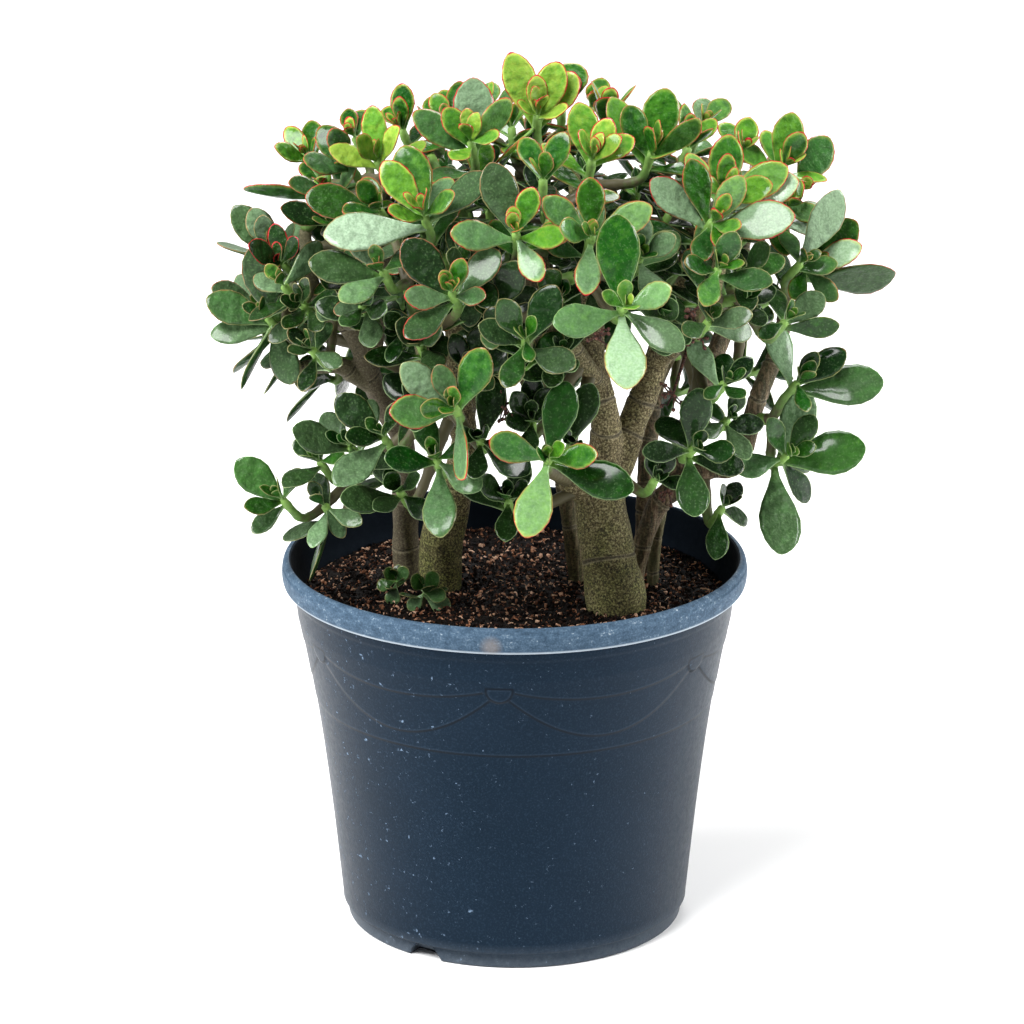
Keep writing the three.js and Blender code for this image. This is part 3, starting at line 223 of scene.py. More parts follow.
# What grows from one shoot tip: where its heart shows in the photograph, how far behind the dome
# it lies, how much it faces the viewer (0 up, 1 to the eye), the length of its large leaves and
# their look, which is how old they are, how much grey wax with painted sheen they carry and how
# red-rimmed they are. Then come the leaves that stand out: (x, y) of the tip in the photograph,
# the length, with a minus where the leaf leans away from the viewer, and the roll of its blade in
# degrees.
ROSETTES = [
    ((309, 158), 15, 0.3, 36, (0.5, 0.1, 0.8),
     [(286, 127, -34), (274, 147, 34), (316, 139, 22), (311, 120, -36)]),
    ((352, 168), 5, 0.35, 44, (0.6, 0.3, 0.5),
     [(320, 126, -44), (332, 128, 36), (303, 160, 42)]),
    ((377, 160), 5, 0.3, 42, (0.2, 0.1, 0.5),
     [(372, 105, -44), (357, 137, 34), (400, 127, 38), (380, 142, 16), (351, 108, -48, 70)]),
    ((402, 130), 40, 0.2, 36, (0.5, 0.1, 0.9),
     [(400, 96, 30), (402, 83, -38), (385, 107, -28)]),
    ((434, 128), 45, 0.2, 34, (0.6, 0.2, 0.7),
     [(431, 96, -32), (418, 108, 28)]),
    ((471, 142), 5, 0.35, 46, (0.5, 0.4, 0.6),
     [(413, 112, 48), (463, 78, -52), (500, 135, 26), (440, 113, -36), (478, 112, 26),
      (445, 95, -44, 60), (501, 92, -42, 60), (452, 160, 30)]),
    ((537, 116), 25, 0.25, 46, (0.25, 0.1, 0.9),
     [(510, 52, -52), (562, 62, -46), (537, 73, 34), (575, 72, -46), (517, 103, 22),
      (568, 108, 32), (494, 165, 42, 60)]),
    ((543, 180), 5, 0.3, 40, (0.6, 0.1, 0.4),
     [(523, 137, -40), (548, 152, 26), (566, 132, -40)]),
    ((592, 160), 5, 0.35, 40, (0.3, 0.1, 0.8),
     [(578, 102, -44), (578, 132, 32), (612, 118, -36), (622, 137, 32), (634, 137, -38)]),
    ((652, 152), 25, 0.3, 42, (0.35, 0.2, 0.5),
     [(667, 88, -48), (660, 121, 30), (610, 97, -54), (632, 100, -44), (690, 105, -46, 50),
      (680, 122, 34), (672, 153, 34)]),
    ((725, 195), 0, 0.45, 46, (0.35, 0.3, 0.8),
     [(730, 134, -50), (728, 153, 34), (690, 150, -44), (768, 143, -48), (772, 175, 36),
      (799, 180, -56), (703, 172, 26), (736, 206, 28)]),
    ((783, 168), 25, 0.3, 40, (0.3, 0.2, 0.7),
     [(793, 112, -44), (770, 125, -36), (803, 132, 34), (780, 148, 24), (748, 130, -38)]),
    ((796, 192), 30, 0.3, 42, (0.3, 0.2, 0.9),
     [(833, 133, -52), (827, 170, 34)]),
    ((275, 254), 0, 0.45, 42, (0.6, 0.4, 0.2),
     [(233, 206, -46), (252, 207, -40), (268, 207, 42), (219, 235, -42, 60), (250, 238, 30),
      (298, 235, 30)]),
    ((330, 192), 15, 0.4, 40, (0.6, 0.3, 0.5),
     [(288, 183, 36), (243, 189, -64, 75), (316, 178, -26)]),
    ((380, 210), 10, 0.5, 40, (0.6, 0.2, 0.4),
     [(305, 196, 54), (342, 212, 34), (358, 181, 30)]),
    ((424, 216), 0, 0.5, 48, (0.5, 0.4, 0.7),
     [(323, 236, 74), (383, 161, -52), (488, 174, 56), (402, 143, -56), (455, 194, 34),
      (388, 212, 38)]),
    ((335, 226), 35, 0.4, 42, (0.7, 0.3, 0.2),
     [(280, 208, 42)]),
    ((516, 234), 0, 0.85, 42, (0.4, 0.1, 0.5),
     [(489, 162, 52), (534, 187, 36), (450, 233, 48), (540, 282, 38), (566, 236, 38),
      (512, 205, 18)]),
    ((592, 236), 0, 0.9, 42, (0.5, 0.3, 0.3),
     [(590, 177, 42), (547, 196, 44), (652, 206, 46), (586, 296, 44), (539, 233, 40),
      (590, 219, 14)]),
    ((712, 222), 0, 0.7, 48, (0.5, 0.4, 0.6),
     [(650, 180, 54), (799, 225, 64), (697, 262, 34), (722, 254, 26), (668, 168, -50),
      (745, 238, 28)]),
    ((776, 205), 15, 0.5, 42, (0.4, 0.5, 0.4),
     [(820, 192, 34), (786, 256, 42), (756, 160, -40)]),
    ((806, 268), 0, 0.5, 44, (0.5, 0.3, 0.4),
     [(857, 221, -48), (866, 250, 44), (889, 240, -60, 70), (820, 188, -58, 55), (792, 300, 30),
      (838, 300, 36, 60)]),
    ((268, 318), 0, 0.6, 46, (0.6, 0.3, 0.15),
     [(257, 243, 56), (206, 298, -48), (210, 331, 48), (219, 373, 46, 65), (292, 292, 30),
      (236, 381, -52, 65), (278, 388, 44), (304, 352, 30)]),
    ((312, 350), 25, 0.7, 38, (0.7, 0.3, 0.1),
     [(302, 392, 32), (342, 366, 30), (330, 322, -30), (288, 352, 26)]),
    ((383, 272), 0, 0.6, 46, (0.7, 0.4, 0.3),
     [(308, 262, 56), (340, 308, 46), (352, 232, -40), (420, 250, -36)]),
    ((452, 293), 0, 0.8, 44, (0.5, 0.3, 0.4),
     [(404, 240, 54), (497, 248, 44), (404, 297, 38), (405, 338, 48), (486, 297, 30),
      (463, 258, 28), (442, 270, 20)]),
    ((525, 340), 0, 0.8, 44, (0.6, 0.2, 0.1),
     [(556, 285, 46), (498, 300, 40), (505, 388, 40), (575, 368, 48), (531, 362, 20),
      (478, 325, 40)]),
    ((624, 308), -6, 0.85, 50, (0.35, 0.4, 0.1),
     [(614, 213, 70), (553, 325, 54), (672, 288, 40), (627, 390, 64), (684, 350, 52),
      (602, 292, 22)]),
    ((718, 270), 0, 0.6, 42, (0.5, 0.3, 0.2),
     [(773, 283, 44), (684, 262, 36), (733, 228, -36), (700, 300, 34)]),
    ((708, 322), 15, 0.7, 40, (0.7, 0.4, 0.1),
     [(753, 314, 36), (683, 334, 30), (752, 332, -40), (712, 290, 26)]),
    ((455, 408), -4, 0.9, 46, (0.4, 0.3, 0.3),
     [(401, 364, 56), (389, 413, 50), (464, 480, 52, 55), (485, 348, 50), (437, 364, 34),
      (448, 387, 16), (421, 380, 32)]),
    ((437, 460), 10, 0.7, 46, (0.6, 0.2, 0.1),
     [(440, 538, 58), (481, 490, 40), (384, 458, 42), (470, 444, 26)]),
    ((384, 437), 5, 0.7, 42, (0.7, 0.2, 0.05),
     [(336, 396, 46), (335, 486, 52), (345, 437, 32), (399, 402, 28)]),
    ((283, 500), 0, 0.55, 42, (0.55, 0.3, 0.1),
     [(236, 460, 44), (244, 508, 32), (252, 533, 32), (300, 468, -30)]),
    ((320, 462), 5, 0.5, 44, (0.6, 0.3, 0.05),
     [(284, 488, 44), (345, 455, 26), (315, 422, -34)]),
    ((325, 506), 5, 0.5, 40, (0.6, 0.4, 0.1),
     [(312, 548, 34), (296, 571, 52, 60), (362, 524, 32), (344, 538, 26)]),
    ((548, 458), -6, 0.95, 48, (0.4, 0.1, 0.1),
     [(567, 381, 56), (489, 440, 46), (598, 455, 40), (525, 538, 60), (634, 490, 64),
      (545, 444, 12)]),
    ((693, 450), 0, 0.9, 44, (0.7, 0.1, 0.05),
     [(698, 386, 48), (642, 452, 38), (735, 452, 34), (695, 517, 50), (665, 420, -40)]),
    ((722, 508), 25, 0.6, 40, (0.7, 0.1, 0.05),
     [(715, 560, 40), (742, 480, -30), (748, 520, -36)]),
    ((786, 456), 0, 0.85, 50, (0.45, 0.2, 0.05),
     [(790, 385, 54), (866, 447, 58), (782, 555, 72), (735, 470, 42), (815, 415, 36),
      (814, 502, -44), (768, 418, 36), (830, 478, -46)]),
    ((797, 383), 0, 0.5, 44, (0.45, 0.2, 0.1),
     [(884, 382, 64), (846, 350, -42), (771, 322, -46), (817, 350, 28), (806, 412, 26)]),
    ((785, 322), 5, 0.5, 38, (0.5, 0.3, 0.1),
     [(772, 288, -32), (840, 325, 42, 60), (828, 300, -40), (758, 338, 26)]),
    ((724, 384), 10, 0.7, 40, (0.6, 0.2, 0.05),
     [(690, 340, -42), (753, 358, 32), (744, 398, 26), (704, 398, 22)]),
    ((492, 312), 45, 0.9, 40, (0.7, 0.3, 0.1),
     [(492, 350, 36), (520, 262, 46)]),
    ((508, 500), 40, 0.7, 42, (0.8, 0.1, 0),
     [(506, 542, 36), (478, 478, 40), (528, 482, 26)]),
    ((640, 258), 30, 0.8, 42, (0.6, 0.4, 0.1),
     [(676, 236, 36), (660, 300, 40), (612, 262, 26), (640, 214, 40)]),
    ((742, 270), 45, 0.6, 42, (0.6, 0.3, 0.1),
     [(748, 312, 40), (770, 246, 36)]),
    ((560, 300), 50, 0.8, 42, (0.7, 0.2, 0.1),
     [(548, 262, 40), (588, 322, 40), (535, 320, 34)]),
    ((420, 345), 45, 0.7, 42, (0.7, 0.2, 0.1),
     [(396, 322, 40), (440, 372, 40), (448, 330, 36)]),
    ((345, 290), 50, 0.6, 42, (0.7, 0.3, 0.1),
     [(322, 322, 42), (362, 330, 42), (318, 268, 40)]),
    ((590, 108), 70, 0.2, 38, (0.5, 0.2, 0.5),
     [(604, 78, -36), (618, 110, -34)]),
    ((702, 128), 60, 0.2, 40, (0.5, 0.3, 0.4),
     [(706, 98, -36), (722, 112, -34)]),
    ((488, 108), 75, 0.2, 38, (0.5, 0.3, 0.5),
     [(490, 82, -34), (508, 100, -32)]),
]

# Rosettes that the photograph shows behind the others, in the same form. The render alone has
# them.
DEEPER = [
    ((532, 422), 60, 0.8, 40, (0.95, 0.1, 0),
     [(533, 374, 40), (506, 424, 32), (552, 388, 36), (528, 455, 30), (512, 392, 34)]),
    ((570, 446), 25, 0.9, 40, (0.95, 0.1, 0),
     [(592, 383, 46), (586, 470, 28)]),
    ((480, 440), 30, 0.9, 42, (0.9, 0.15, 0),
     [(530, 474, 46), (496, 373, 48), (455, 432, 26), (468, 478, 34), (512, 448, 30)]),
    ((468, 372), 45, 0.85, 40, (0.85, 0.15, 0.1),
     [(438, 346, 34), (508, 352, 40), (452, 398, 30), (486, 336, 38), (494, 388, 30)]),
    ((500, 335), 70, 0.8, 42, (0.9, 0.1, 0.1),
     [(478, 352, 34), (512, 378, 40), (534, 352, 36), (540, 318, 38)]),
    ((560, 352), 45, 0.8, 40, (0.9, 0.1, 0),
     [(548, 392, 36), (574, 372, 34), (540, 336, 30), (528, 372, 36)]),
    ((402, 332), 35, 0.85, 36, (0.9, 0.1, 0),
     [(404, 362, 28), (386, 312, 28), (424, 322, 30)]),
    ((362, 306), 15, 0.85, 38, (0.85, 0.3, 0),
     [(380, 344, 38), (342, 326, 30), (374, 290, 26), (396, 316, 34)]),
    ((400, 492), 0, 0.8, 42, (0.85, 0.2, 0),
     [(340, 500, 54), (432, 518, 32), (372, 514, 32), (420, 474, 28), (384, 470, 30)]),
    ((350, 446), 20, 0.7, 46, (0.75, 0.3, 0),
     [(292, 430, 54), (322, 414, -40), (362, 476, 34), (372, 420, 34)]),
    ((420, 400), 40, 0.8, 40, (0.85, 0.15, 0),
     [(402, 384, 30), (416, 432, 34), (440, 424, 30), (398, 412, 30)]),
    ((282, 264), 12, 0.7, 38, (0.8, 0.15, 0.8),
     [(238, 246, 42), (298, 238, 28)]),
    ((284, 286), 5, 0.5, 40, (0.6, 0.4, 0.2),
     [(322, 243, -46, 70)]),
    ((262, 306), 25, 0.6, 40, (0.6, 0.4, 0.3),
     [(211, 287, 44), (236, 276, -38)]),
    ((302, 304), 25, 0.8, 36, (0.9, 0.2, 0.1),
     [(286, 338, 32), (322, 330, 32), (332, 300, 28), (308, 278, 26), (280, 300, 26)]),
    ((355, 138), 50, 0.2, 34, (0.6, 0.2, 0.8),
     [(346, 109, -32), (358, 106, -34)]),
    ((450, 126), 40, 0.25, 36, (0.6, 0.3, 0.7),
     [(444, 94, -38), (462, 84, -40), (436, 106, -28)]),
    ((562, 112), 40, 0.2, 44, (0.6, 0.2, 0.9),
     [(575, 57, -54), (583, 86, -38)]),
    ((742, 152), 30, 0.3, 34, (0.4, 0.2, 0.9),
     [(724, 122, -36), (749, 120, -36), (766, 128, -34), (734, 134, 24)]),
    ((800, 264), 10, 0.6, 40, (0.5, 0.5, 0.2),
     [(821, 188, -62, 20), (780, 240, -34)]),
    ((786, 208), 10, 0.5, 40, (0.4, 1, 0.5),
     [(828, 170, -48), (770, 182, 30)]),
    ((727, 420), 25, 0.8, 34, (0.8, 0.3, 0),
     [(748, 460, 36), (742, 392, 24), (706, 434, 28)]),
    ((655, 480), 20, 0.85, 34, (0.95, 0.05, 0),
     [(672, 452, 28), (688, 484, 26), (650, 452, 26)]),
    ((596, 276), 55, 0.8, 40, (0.9, 0.2, 0.1),
     [(576, 306, 36), (620, 306, 34), (606, 244, 36), (574, 258, 34)]),
    ((662, 318), 40, 0.8, 40, (0.9, 0.25, 0),
     [(690, 296, 34), (664, 356, 38), (694, 330, 32), (642, 296, 32)]),
    ((470, 270), 35, 0.8, 42, (0.85, 0.2, 0.1),
     [(500, 284, 36), (476, 232, 40), (446, 254, 34), (466, 308, 38)]),
    ((742, 300), 40, 0.8, 38, (0.8, 0.2, 0),
     [(764, 322, 30), (724, 330, 34), (762, 282, 30)]),
]

# The look of single leaves that stand out in the photograph, by their tips. Where the grey wax
# share is high, its pale tint is a painted sheen.
LEAF_LOOKS = {
    (627, 390): (0.3, 0.9, 0.35), (684, 350): (0.85, 0.5, 0), (553, 325): (0.5, 0.5, 0),
    (672, 288): (0.3, 0.6, 0.2), (614, 213): (0.5, 0.1, 0.1), (323, 236): (0.55, 0.95, 0.2),
    (257, 243): (0.9, 0.25, 0.2), (383, 161): (0.32, 0.15, 1), (488, 174): (0.85, 0.35, 0.2),
    (489, 162): (0.9, 0.35, 0.2), (450, 233): (0.5, 0.5, 0.5), (540, 282): (0.4, 0.7, 0.8),
    (534, 187): (0.35, 0.05, 0.8), (590, 177): (0.6, 0.05, 0.6), (547, 196): (0.5, 0.4, 0.6),
    (652, 206): (0.4, 0.55, 0.4), (586, 296): (0.5, 0.6, 0.6), (650, 180): (0.75, 0.7, 0.6),
    (799, 225): (0.6, 0.75, 0.8), (799, 180): (0.4, 1, 0.5), (404, 240): (0.95, 0.15, 0.3),
    (405, 338): (0.85, 0.3, 0.5), (404, 297): (0.7, 0.5, 0.6), (340, 308): (0.5, 0.6, 0.1),
    (206, 298): (0.65, 0.35, 0.2), (210, 331): (0.75, 0.5, 0), (401, 364): (0.65, 0.7, 0.1),
    (485, 348): (0.45, 0.2, 0.3), (389, 413): (0.55, 0.4, 0.8), (464, 480): (0.6, 0.5, 1),
    (481, 490): (0.7, 0.5, 0), (440, 538): (0.65, 0.45, 0.1), (335, 486): (0.85, 0.5, 0),
    (384, 458): (0.75, 0.05, 0), (567, 381): (0.65, 0.15, 0), (489, 440): (0.5, 0.3, 0.6),
    (598, 455): (0.4, 0.15, 0.5), (525, 538): (0.35, 0.6, 0.5), (634, 490): (0.75, 0.05, 0),
    (698, 386): (0.9, 0.15, 0), (642, 452): (1, 0.15, 0), (695, 517): (0.8, 0.2, 0),
    (866, 447): (0.55, 0.25, 0), (782, 555): (0.75, 0.4, 0), (790, 385): (0.75, 0.55, 0),
    (735, 470): (0.6, 0.4, 0), (884, 382): (0.65, 0.35, 0), (771, 322): (0.6, 0.7, 0),
    (753, 358): (1, 0, 0), (690, 340): (0.6, 0.7, 0), (510, 52): (0.1, 0.15, 1),
    (773, 283): (0.65, 0.3, 0.1), (866, 250): (0.4, 0.9, 0.7), (463, 78): (0.75, 0.7, 0.8),
    (706, 98): (0.7, 0.6, 0.5), (308, 262): (0.85, 0.3, 0.1), (715, 560): (0.8, 0.1, 0),
    (236, 460): (0.6, 0.3, 0), (312, 548): (0.7, 0.6, 0)}

# Rosettes spread evenly by the golden angle over a dome: those of the far side and the top, and
# the inner ones, which fill the crown behind the outer leaves. The highest is at this share of
# the dome's height.
HIGHEST = 0.97
FAR_SIDE = dict(count=74, apart=50, size=0.97, leaf=46, lowest=-0.62, nearest=-30, seed=11)
# The inner shoots take the oldest, darkest look: painted shade for the inside of the crown.
INNER = dict(count=80, apart=38, size=0.7, leaf=40, lowest=-0.45, nearest=-400, seed=12,
             look=(1.1, 0.08, 0))
OUTER = dict(count=150, apart=38, size=0.93, leaf=42, lowest=-0.5, nearest=-10, seed=13)


def shell_rosettes(shell, taken):
    """Point i of n lies at the height that falls evenly from the top, turned on by the golden
    angle from the last. Its axis is the dome's normal, leaning up, and draws give how deep it
    lies, its roll and its leaves' length."""
    random = draws(shell["seed"])
    golden = math.pi * (3 - math.sqrt(5))
    found = []
    for i in range(shell["count"]):
        up = HIGHEST - (HIGHEST - shell["lowest"]) * i / shell["count"]
        out = math.sqrt(1 - up * up)
        normal = np.array([out * math.cos(golden * i), out * math.sin(golden * i), up])
        inward = shell["size"] + 0.06 * (next(random) - 0.5)
        heart = CROWN_CENTRE + normal * CROWN_RADII * inward
        roll = next(random) * math.pi
        leaf = shell["leaf"] * (0.86 + 0.28 * next(random))
        near = any(np.linalg.norm(r["heart"] - heart) < shell["apart"] for r in taken + found)
        if heart[1] < shell["nearest"] or near:
            continue
        found.append(dict(heart=heart, axis=unit(normal + [0, 0, 0.55]), leaf=leaf, roll=roll,
                          tips=[], look=shell.get("look")))
    return found


def seen_rosettes(rows):
    """Rosettes of a list in the plant's own space: an axis leans outward and to the eye."""
    found = []
    for index, (place, behind, face, leaf, look, tips) in enumerate(rows):
        heart = on_crown(*place, behind)
        outward = (heart[0] - CROWN_CENTRE[0]) / CROWN_RADII[0]
        axis = np.array([0.75 * outward, 0, math.sqrt(1 - face ** 2)]) + unit(EYE - heart) * face
        found.append(dict(heart=heart, axis=unit(axis), leaf=leaf, roll=0.9 * index, tips=tips,
                          look=look))
    return found


# ---- leaves as named values ----------------------------------------------------------------------


def spread(t):
    """Half a leaf's width at t along it, as a share of the greatest: a narrow neck that widens
    smoothly to the widest place, then a rounded end that comes to a slight point."""
    u = np.clip(t / LEAF["widest"], 0, 1)
    v = np.clip((t - LEAF["widest"]) / (1 - LEAF["widest"]), 0, 1)
    rising = LEAF["neck"] + (1 - LEAF["neck"]) * (u * u * (3 - 2 * u)) ** 1.1
    return np.where(t < LEAF["widest"], rising, (1 - v ** 2) ** LEAF["point"])


def leaf_points(leaf, t, s):
    """Points of the leaf's middle surface at t along and s across: the blade arches along its
    length and curls up towards its rims."""
    half = leaf["width"] / 2 * spread(t)
    rise = leaf["arch"] * leaf["length"] * (t - t * t) + leaf["cup"] * half * s * s
    return (leaf["base"] + np.multiply.outer(t * leaf["length"], leaf["along"])
            + np.multiply.outer(s * half, leaf["side"]) + np.multiply.outer(rise, leaf["face"]))


def leaf_from(base, tip, axis, roll, three):
    """A leaf from its base to its tip whose upper face looks along the axis, then rolls."""
    along = tip - base
    length = np.linalg.norm(along)
    along = along / length
    face = axis - along * (axis @ along)
    if np.linalg.norm(face) < 0.2:
        face = square_to(along)
    face = turned(unit(face), along, roll)
    return dict(base=base, along=along, face=face, side=np.cross(along, face), length=length,
                width=length * (LEAF["width"] + 0.1 * (three[0] - 0.5)) + 2,
                arch=0.16 * (three[1] - 0.55), cup=0.28 * three[2], sunk=LEAF["sunk"])


def tip_at(x, y, base, length, away):
    """The point that shows at (x, y), a leaf's length from its base, before it or behind it.
    Where the line of sight passes too far off, it is the point of the line nearest the base."""
    line = sight_line(x, y)
    nearest = EYE + line * ((base - EYE) @ line)
    spare = math.sqrt(max(length ** 2 - np.sum((nearest - base) ** 2), 0))
    return nearest + line * (spare if away else -spare)


# Opposite pairs of leaves down a shoot: how far they open in degrees, their size, how far below
# the heart they stand, and how grown they are. The young pairs stand past the heart and the older
# ones further down the stem: the render alone has these.
PAIRS = [(80, 1, 15, 0.9), (60, 0.88, 8, 0.7), (36, 0.62, 1, 0.4)]
YOUNG = [(27, 0.46, -1.5, 0.3), (13, 0.27, -3.5, 0.2)]
OLDER = [(86, 0.95, 27, 1), (94, 0.9, 39, 1)]


def paired_leaves(rosette, pairs, random):
    """Opposite pairs round the rosette's axis, each pair turned a quarter from the last, with
    the way that each leaf points."""
    heart, axis = rosette["heart"], rosette["axis"]
    across = square_to(axis)
    other = np.cross(axis, across)
    first = len(PAIRS) if pairs is YOUNG else 0
    for number, (opening, size, down, age) in enumerate(pairs, first):
        for half in (0, math.pi):
            turn = rosette["roll"] + number * math.pi / 2 + half + 0.35 * (next(random) - 0.5)
            tilt = math.radians(opening + 14 * (next(random) - 0.5))
            length = rosette["leaf"] * size * (0.9 + 0.2 * next(random))
            three = [next(random) for _ in range(3)]
            way = (axis * math.cos(tilt) + across * math.cos(turn) * math.sin(tilt)
                   + other * math.sin(turn) * math.sin(tilt))
            base = heart - axis * down
            leaf = leaf_from(base, base + way * length, axis, 0, three)
            leaf["age"] = age
            yield way, leaf


# A leaf of the rule gives way where it points like a listed one, or at the viewer: the cosines.
GIVES_WAY, FACES_VIEWER = 0.72, 0.1


def wanted_leaves(rosette, random):
    """The rosette's listed leaves, then the rule's pairs where the list has none and they don't
    stand before the listed ones."""
    heart, axis, tips = rosette["heart"], rosette["axis"], rosette["tips"]
    to_eye = unit(EYE - heart)
    lit = unit(axis + to_eye * 0.6)
    by_length = sorted(range(len(tips)), key=lambda k: abs(tips[k][2]))
    listed = []
    for k, (x, y, reach, *turn) in enumerate(tips):
        base = heart - axis * (LEAF["node"] * by_length.index(k))
        tip = tip_at(x, y, base, abs(reach), reach < 0)
        three = [next(random) for _ in range(3)]
        leaf = leaf_from(base, tip, lit, math.radians(turn[0] if turn else 0), three)
        leaf["age"], leaf["look"] = min(abs(reach) / 50, 1), LEAF_LOOKS.get((x, y))
        listed.append(leaf)
    ruled = []
    for way, leaf in paired_leaves(rosette, PAIRS, random):
        met = any(known["along"] @ way > GIVES_WAY for known in listed)
        if not (met or (listed and way @ to_eye > FACES_VIEWER)):
            ruled.append(leaf)
    return listed + ruled


# ---- keeping clear -------------------------------------------------------------------------------

MOST_BALLS = 1 << 18


class Thicket:
    """What already stands, as balls: rows of x, y, z, radius, and whose they are."""

    def __init__(self):
        self.balls = np.zeros((MOST_BALLS, 4))
        self.owners = np.zeros(MOST_BALLS, int)
        self.count = 0

    def add(self, points, radius, owner):
        """Adds balls of an owner, of one radius or of a radius each."""
        end = self.count + len(points)
        self.balls[self.count:end, :3] = points
        self.balls[self.count:end, 3] = radius
        self.owners[self.count:end] = owner
        self.count = end

    def near(self, centre, reach):
        """The balls that come within reach of a centre, and their owners."""
        balls, owners = self.balls[:self.count], self.owners[:self.count]
        away = np.linalg.norm(balls[:, :3] - centre, axis=1)
        close = away < reach + balls[:, 3]
        return balls[close], owners[close]


def leaf_samples(leaf):
    """Points over the leaf's middle surface, from past its neck to its tip."""
    steps = max(math.floor(leaf["length"] / LEAF["sample"] + 0.5), 4)
    t, s = np.meshgrid(np.arange(2, steps + 1) / steps, [-0.9, -0.45, 0, 0.45, 0.9],
                       indexing="ij")
    return leaf_points(leaf, t.ravel(), s.ravel())


def bent(leaf, lift, swing, size):
    """The leaf bent from its base: lifted about its side, swung about its face, made smaller."""
    along = turned(leaf["along"], leaf["side"], math.radians(lift))
    face = turned(leaf["face"], leaf["side"], math.radians(lift))
    along = turned(along, face, math.radians(swing))
    return {**leaf, "along": along, "face": face, "side": np.cross(along, face),
            "length": leaf["length"] * size, "width": leaf["width"] * size}


BENDS = [(0, 0)] + [way for step in (7, 14, 22, 31, 42) for way in (
    (-step, 0), (step, 0), (0, step), (0, -step), (-step, step), (step, -step), (-step, -step),
    (step, step))]


def clear_leaf(leaf, owner, thicket, room, sizes=(1, 0.85, 0.7), bends=BENDS):
    """The first way of bending a leaf that is clear of everything, or None. Within one spray
    the leaves may come closer."""
    balls, owners = thicket.near(leaf["base"], leaf["length"] + room)
    need = (room + balls[:, 3]) * np.where(owners == owner, LEAF["kin"], 1)
    centres = balls[:, :3] - leaf["base"]
    short = np.sum(centres ** 2, axis=1) - need ** 2
    for size in sizes:
        for lift, swing in bends:
            tried = bent(leaf, lift, swing, size)
            points = leaf_samples(tried) - leaf["base"]
            spare = np.sum(points ** 2, axis=1)[:, None] - 2 * points @ centres.T + short
            if np.all(spare > 0):
                return tried
    return None


# ---- sprays --------------------------------------------------------------------------------------

# How many sprays there are at most, with how many hearts each; the lowest root and the thickest
# wood that it grows from; how dear a limb's end may be and how many places are tried; where the
# stems fork and how they bow, as shares of the way; how near the root a stem may touch its own
# wood, and how near a thing has to come to count.
SPRAY = dict(most=48, hearts=3, start=300, thickest=13.5, farthest=130, tries=60, fork=0.42,
             bow=0.3, at_root=9, near=12)


def middle_of(group):
    return np.mean([r["heart"] for r in group], axis=0)


def grouped_rosettes(rosettes):
    """Rosettes that lie near each other grow from one forked stem: the nearest groups are joined
    until few enough are left, with no more than three hearts to a stem."""
    groups = [[r] for r in rosettes]
    while len(groups) > SPRAY["most"]:
        middles = np.array([middle_of(g) for g in groups])
        sizes = np.array([len(g) for g in groups])
        gap = np.linalg.norm(middles[:, None] - middles[None], axis=2)
        gap[(sizes[:, None] + sizes[None] > SPRAY["hearts"])
            | np.tri(len(groups), dtype=bool)] = np.inf
        a, b = divmod(int(gap.argmin()), len(groups))
        groups[a] += groups.pop(b)
    return groups


def bezier(a, b, c, d, steps):
    """The cubic from a to d that leaves towards b and arrives from c."""
    t = np.linspace(0, 1, steps + 1)[:, None]
    return (1 - t) ** 3 * a + 3 * (1 - t) ** 2 * t * b + 3 * (1 - t) * t * t * c + t ** 3 * d


def spray_stems(root, group, steps):
    """The green stems of a spray rooted at a point, each as points and radii: one to the fork,
    and from there one to each heart, which it reaches along the rosette's axis."""
    middle = middle_of(group)
    fork = root if len(group) == 1 else root + (middle - root) * SPRAY["fork"]
    start = unit(middle - root)
    stems = []
    first = STEM["root"] if len(group) == 1 else STEM["fork"]
    for rosette in group:
        neck = rosette["heart"] - rosette["axis"] * STEM["neck"]
        bow, span = SPRAY["bow"], np.linalg.norm(neck - fork)
        points = bezier(fork, fork + start * bow * span, neck - rosette["axis"] * bow * span,
                        neck, steps)
        radii = first + (STEM["tip"] - first) * np.minimum(np.arange(steps + 2) / steps, 1)
        stems.append((np.vstack([points, rosette["heart"]]), radii))
    if len(group) > 1:
        stems.append((np.array([root, fork + start * 2]),
                      np.array([STEM["root"], STEM["fork"]])))
    return stems


def stem_samples(points):
    """Balls along a stem, about 4 mm apart."""
    found = []
    for a, b in zip(points[:-1], points[1:]):
        steps = math.ceil(np.linalg.norm(b - a) / 4)
        found.append(a + (b - a) * (np.arange(steps) / steps)[:, None])
    return np.vstack(found)


def root_cost(group, places):
    """How long a group's stems would be from each place, more where they'd turn back."""
    cost = 0
    for rosette in group:
        way = rosette["heart"] - places[:, :3]
        length = np.linalg.norm(way, axis=1)
        cost = cost + length * (1.35 - 0.35 * (way @ rosette["axis"]) / length)
    return cost / len(group)


def groups_at_ends(groups, ends):
    """The end of every limb carries the group that suits it best."""
    chosen = {}
    for number, place in enumerate(ends):
        free = [k for k in range(len(groups)) if k not in chosen]
        costs = [root_cost(groups[k], place[None])[0] for k in free]
        best = int(np.argmin(costs))
        if costs[best] < SPRAY["farthest"]:
            chosen[free[best]] = number
    return chosen


def least_room(stems, place, owner, thicket):
    """How near the stems from a place would come to anything but the wood they grow from."""
    samples = np.vstack([stem_samples(points) for points, _ in stems])
    balls, owners = thicket.balls[:thicket.count], thicket.owners[:thicket.count]
    room = np.linalg.norm(samples[:, None] - balls[None, :, :3], axis=2) - balls[:, 3]
    at_root = np.linalg.norm(samples - place[:3], axis=1) < place[3] + SPRAY["at_root"]
    room[(at_root[:, None] & (owners == owner)[None]) | (room >= SPRAY["near"])] = np.inf
    return room.min() - STEM["root"]


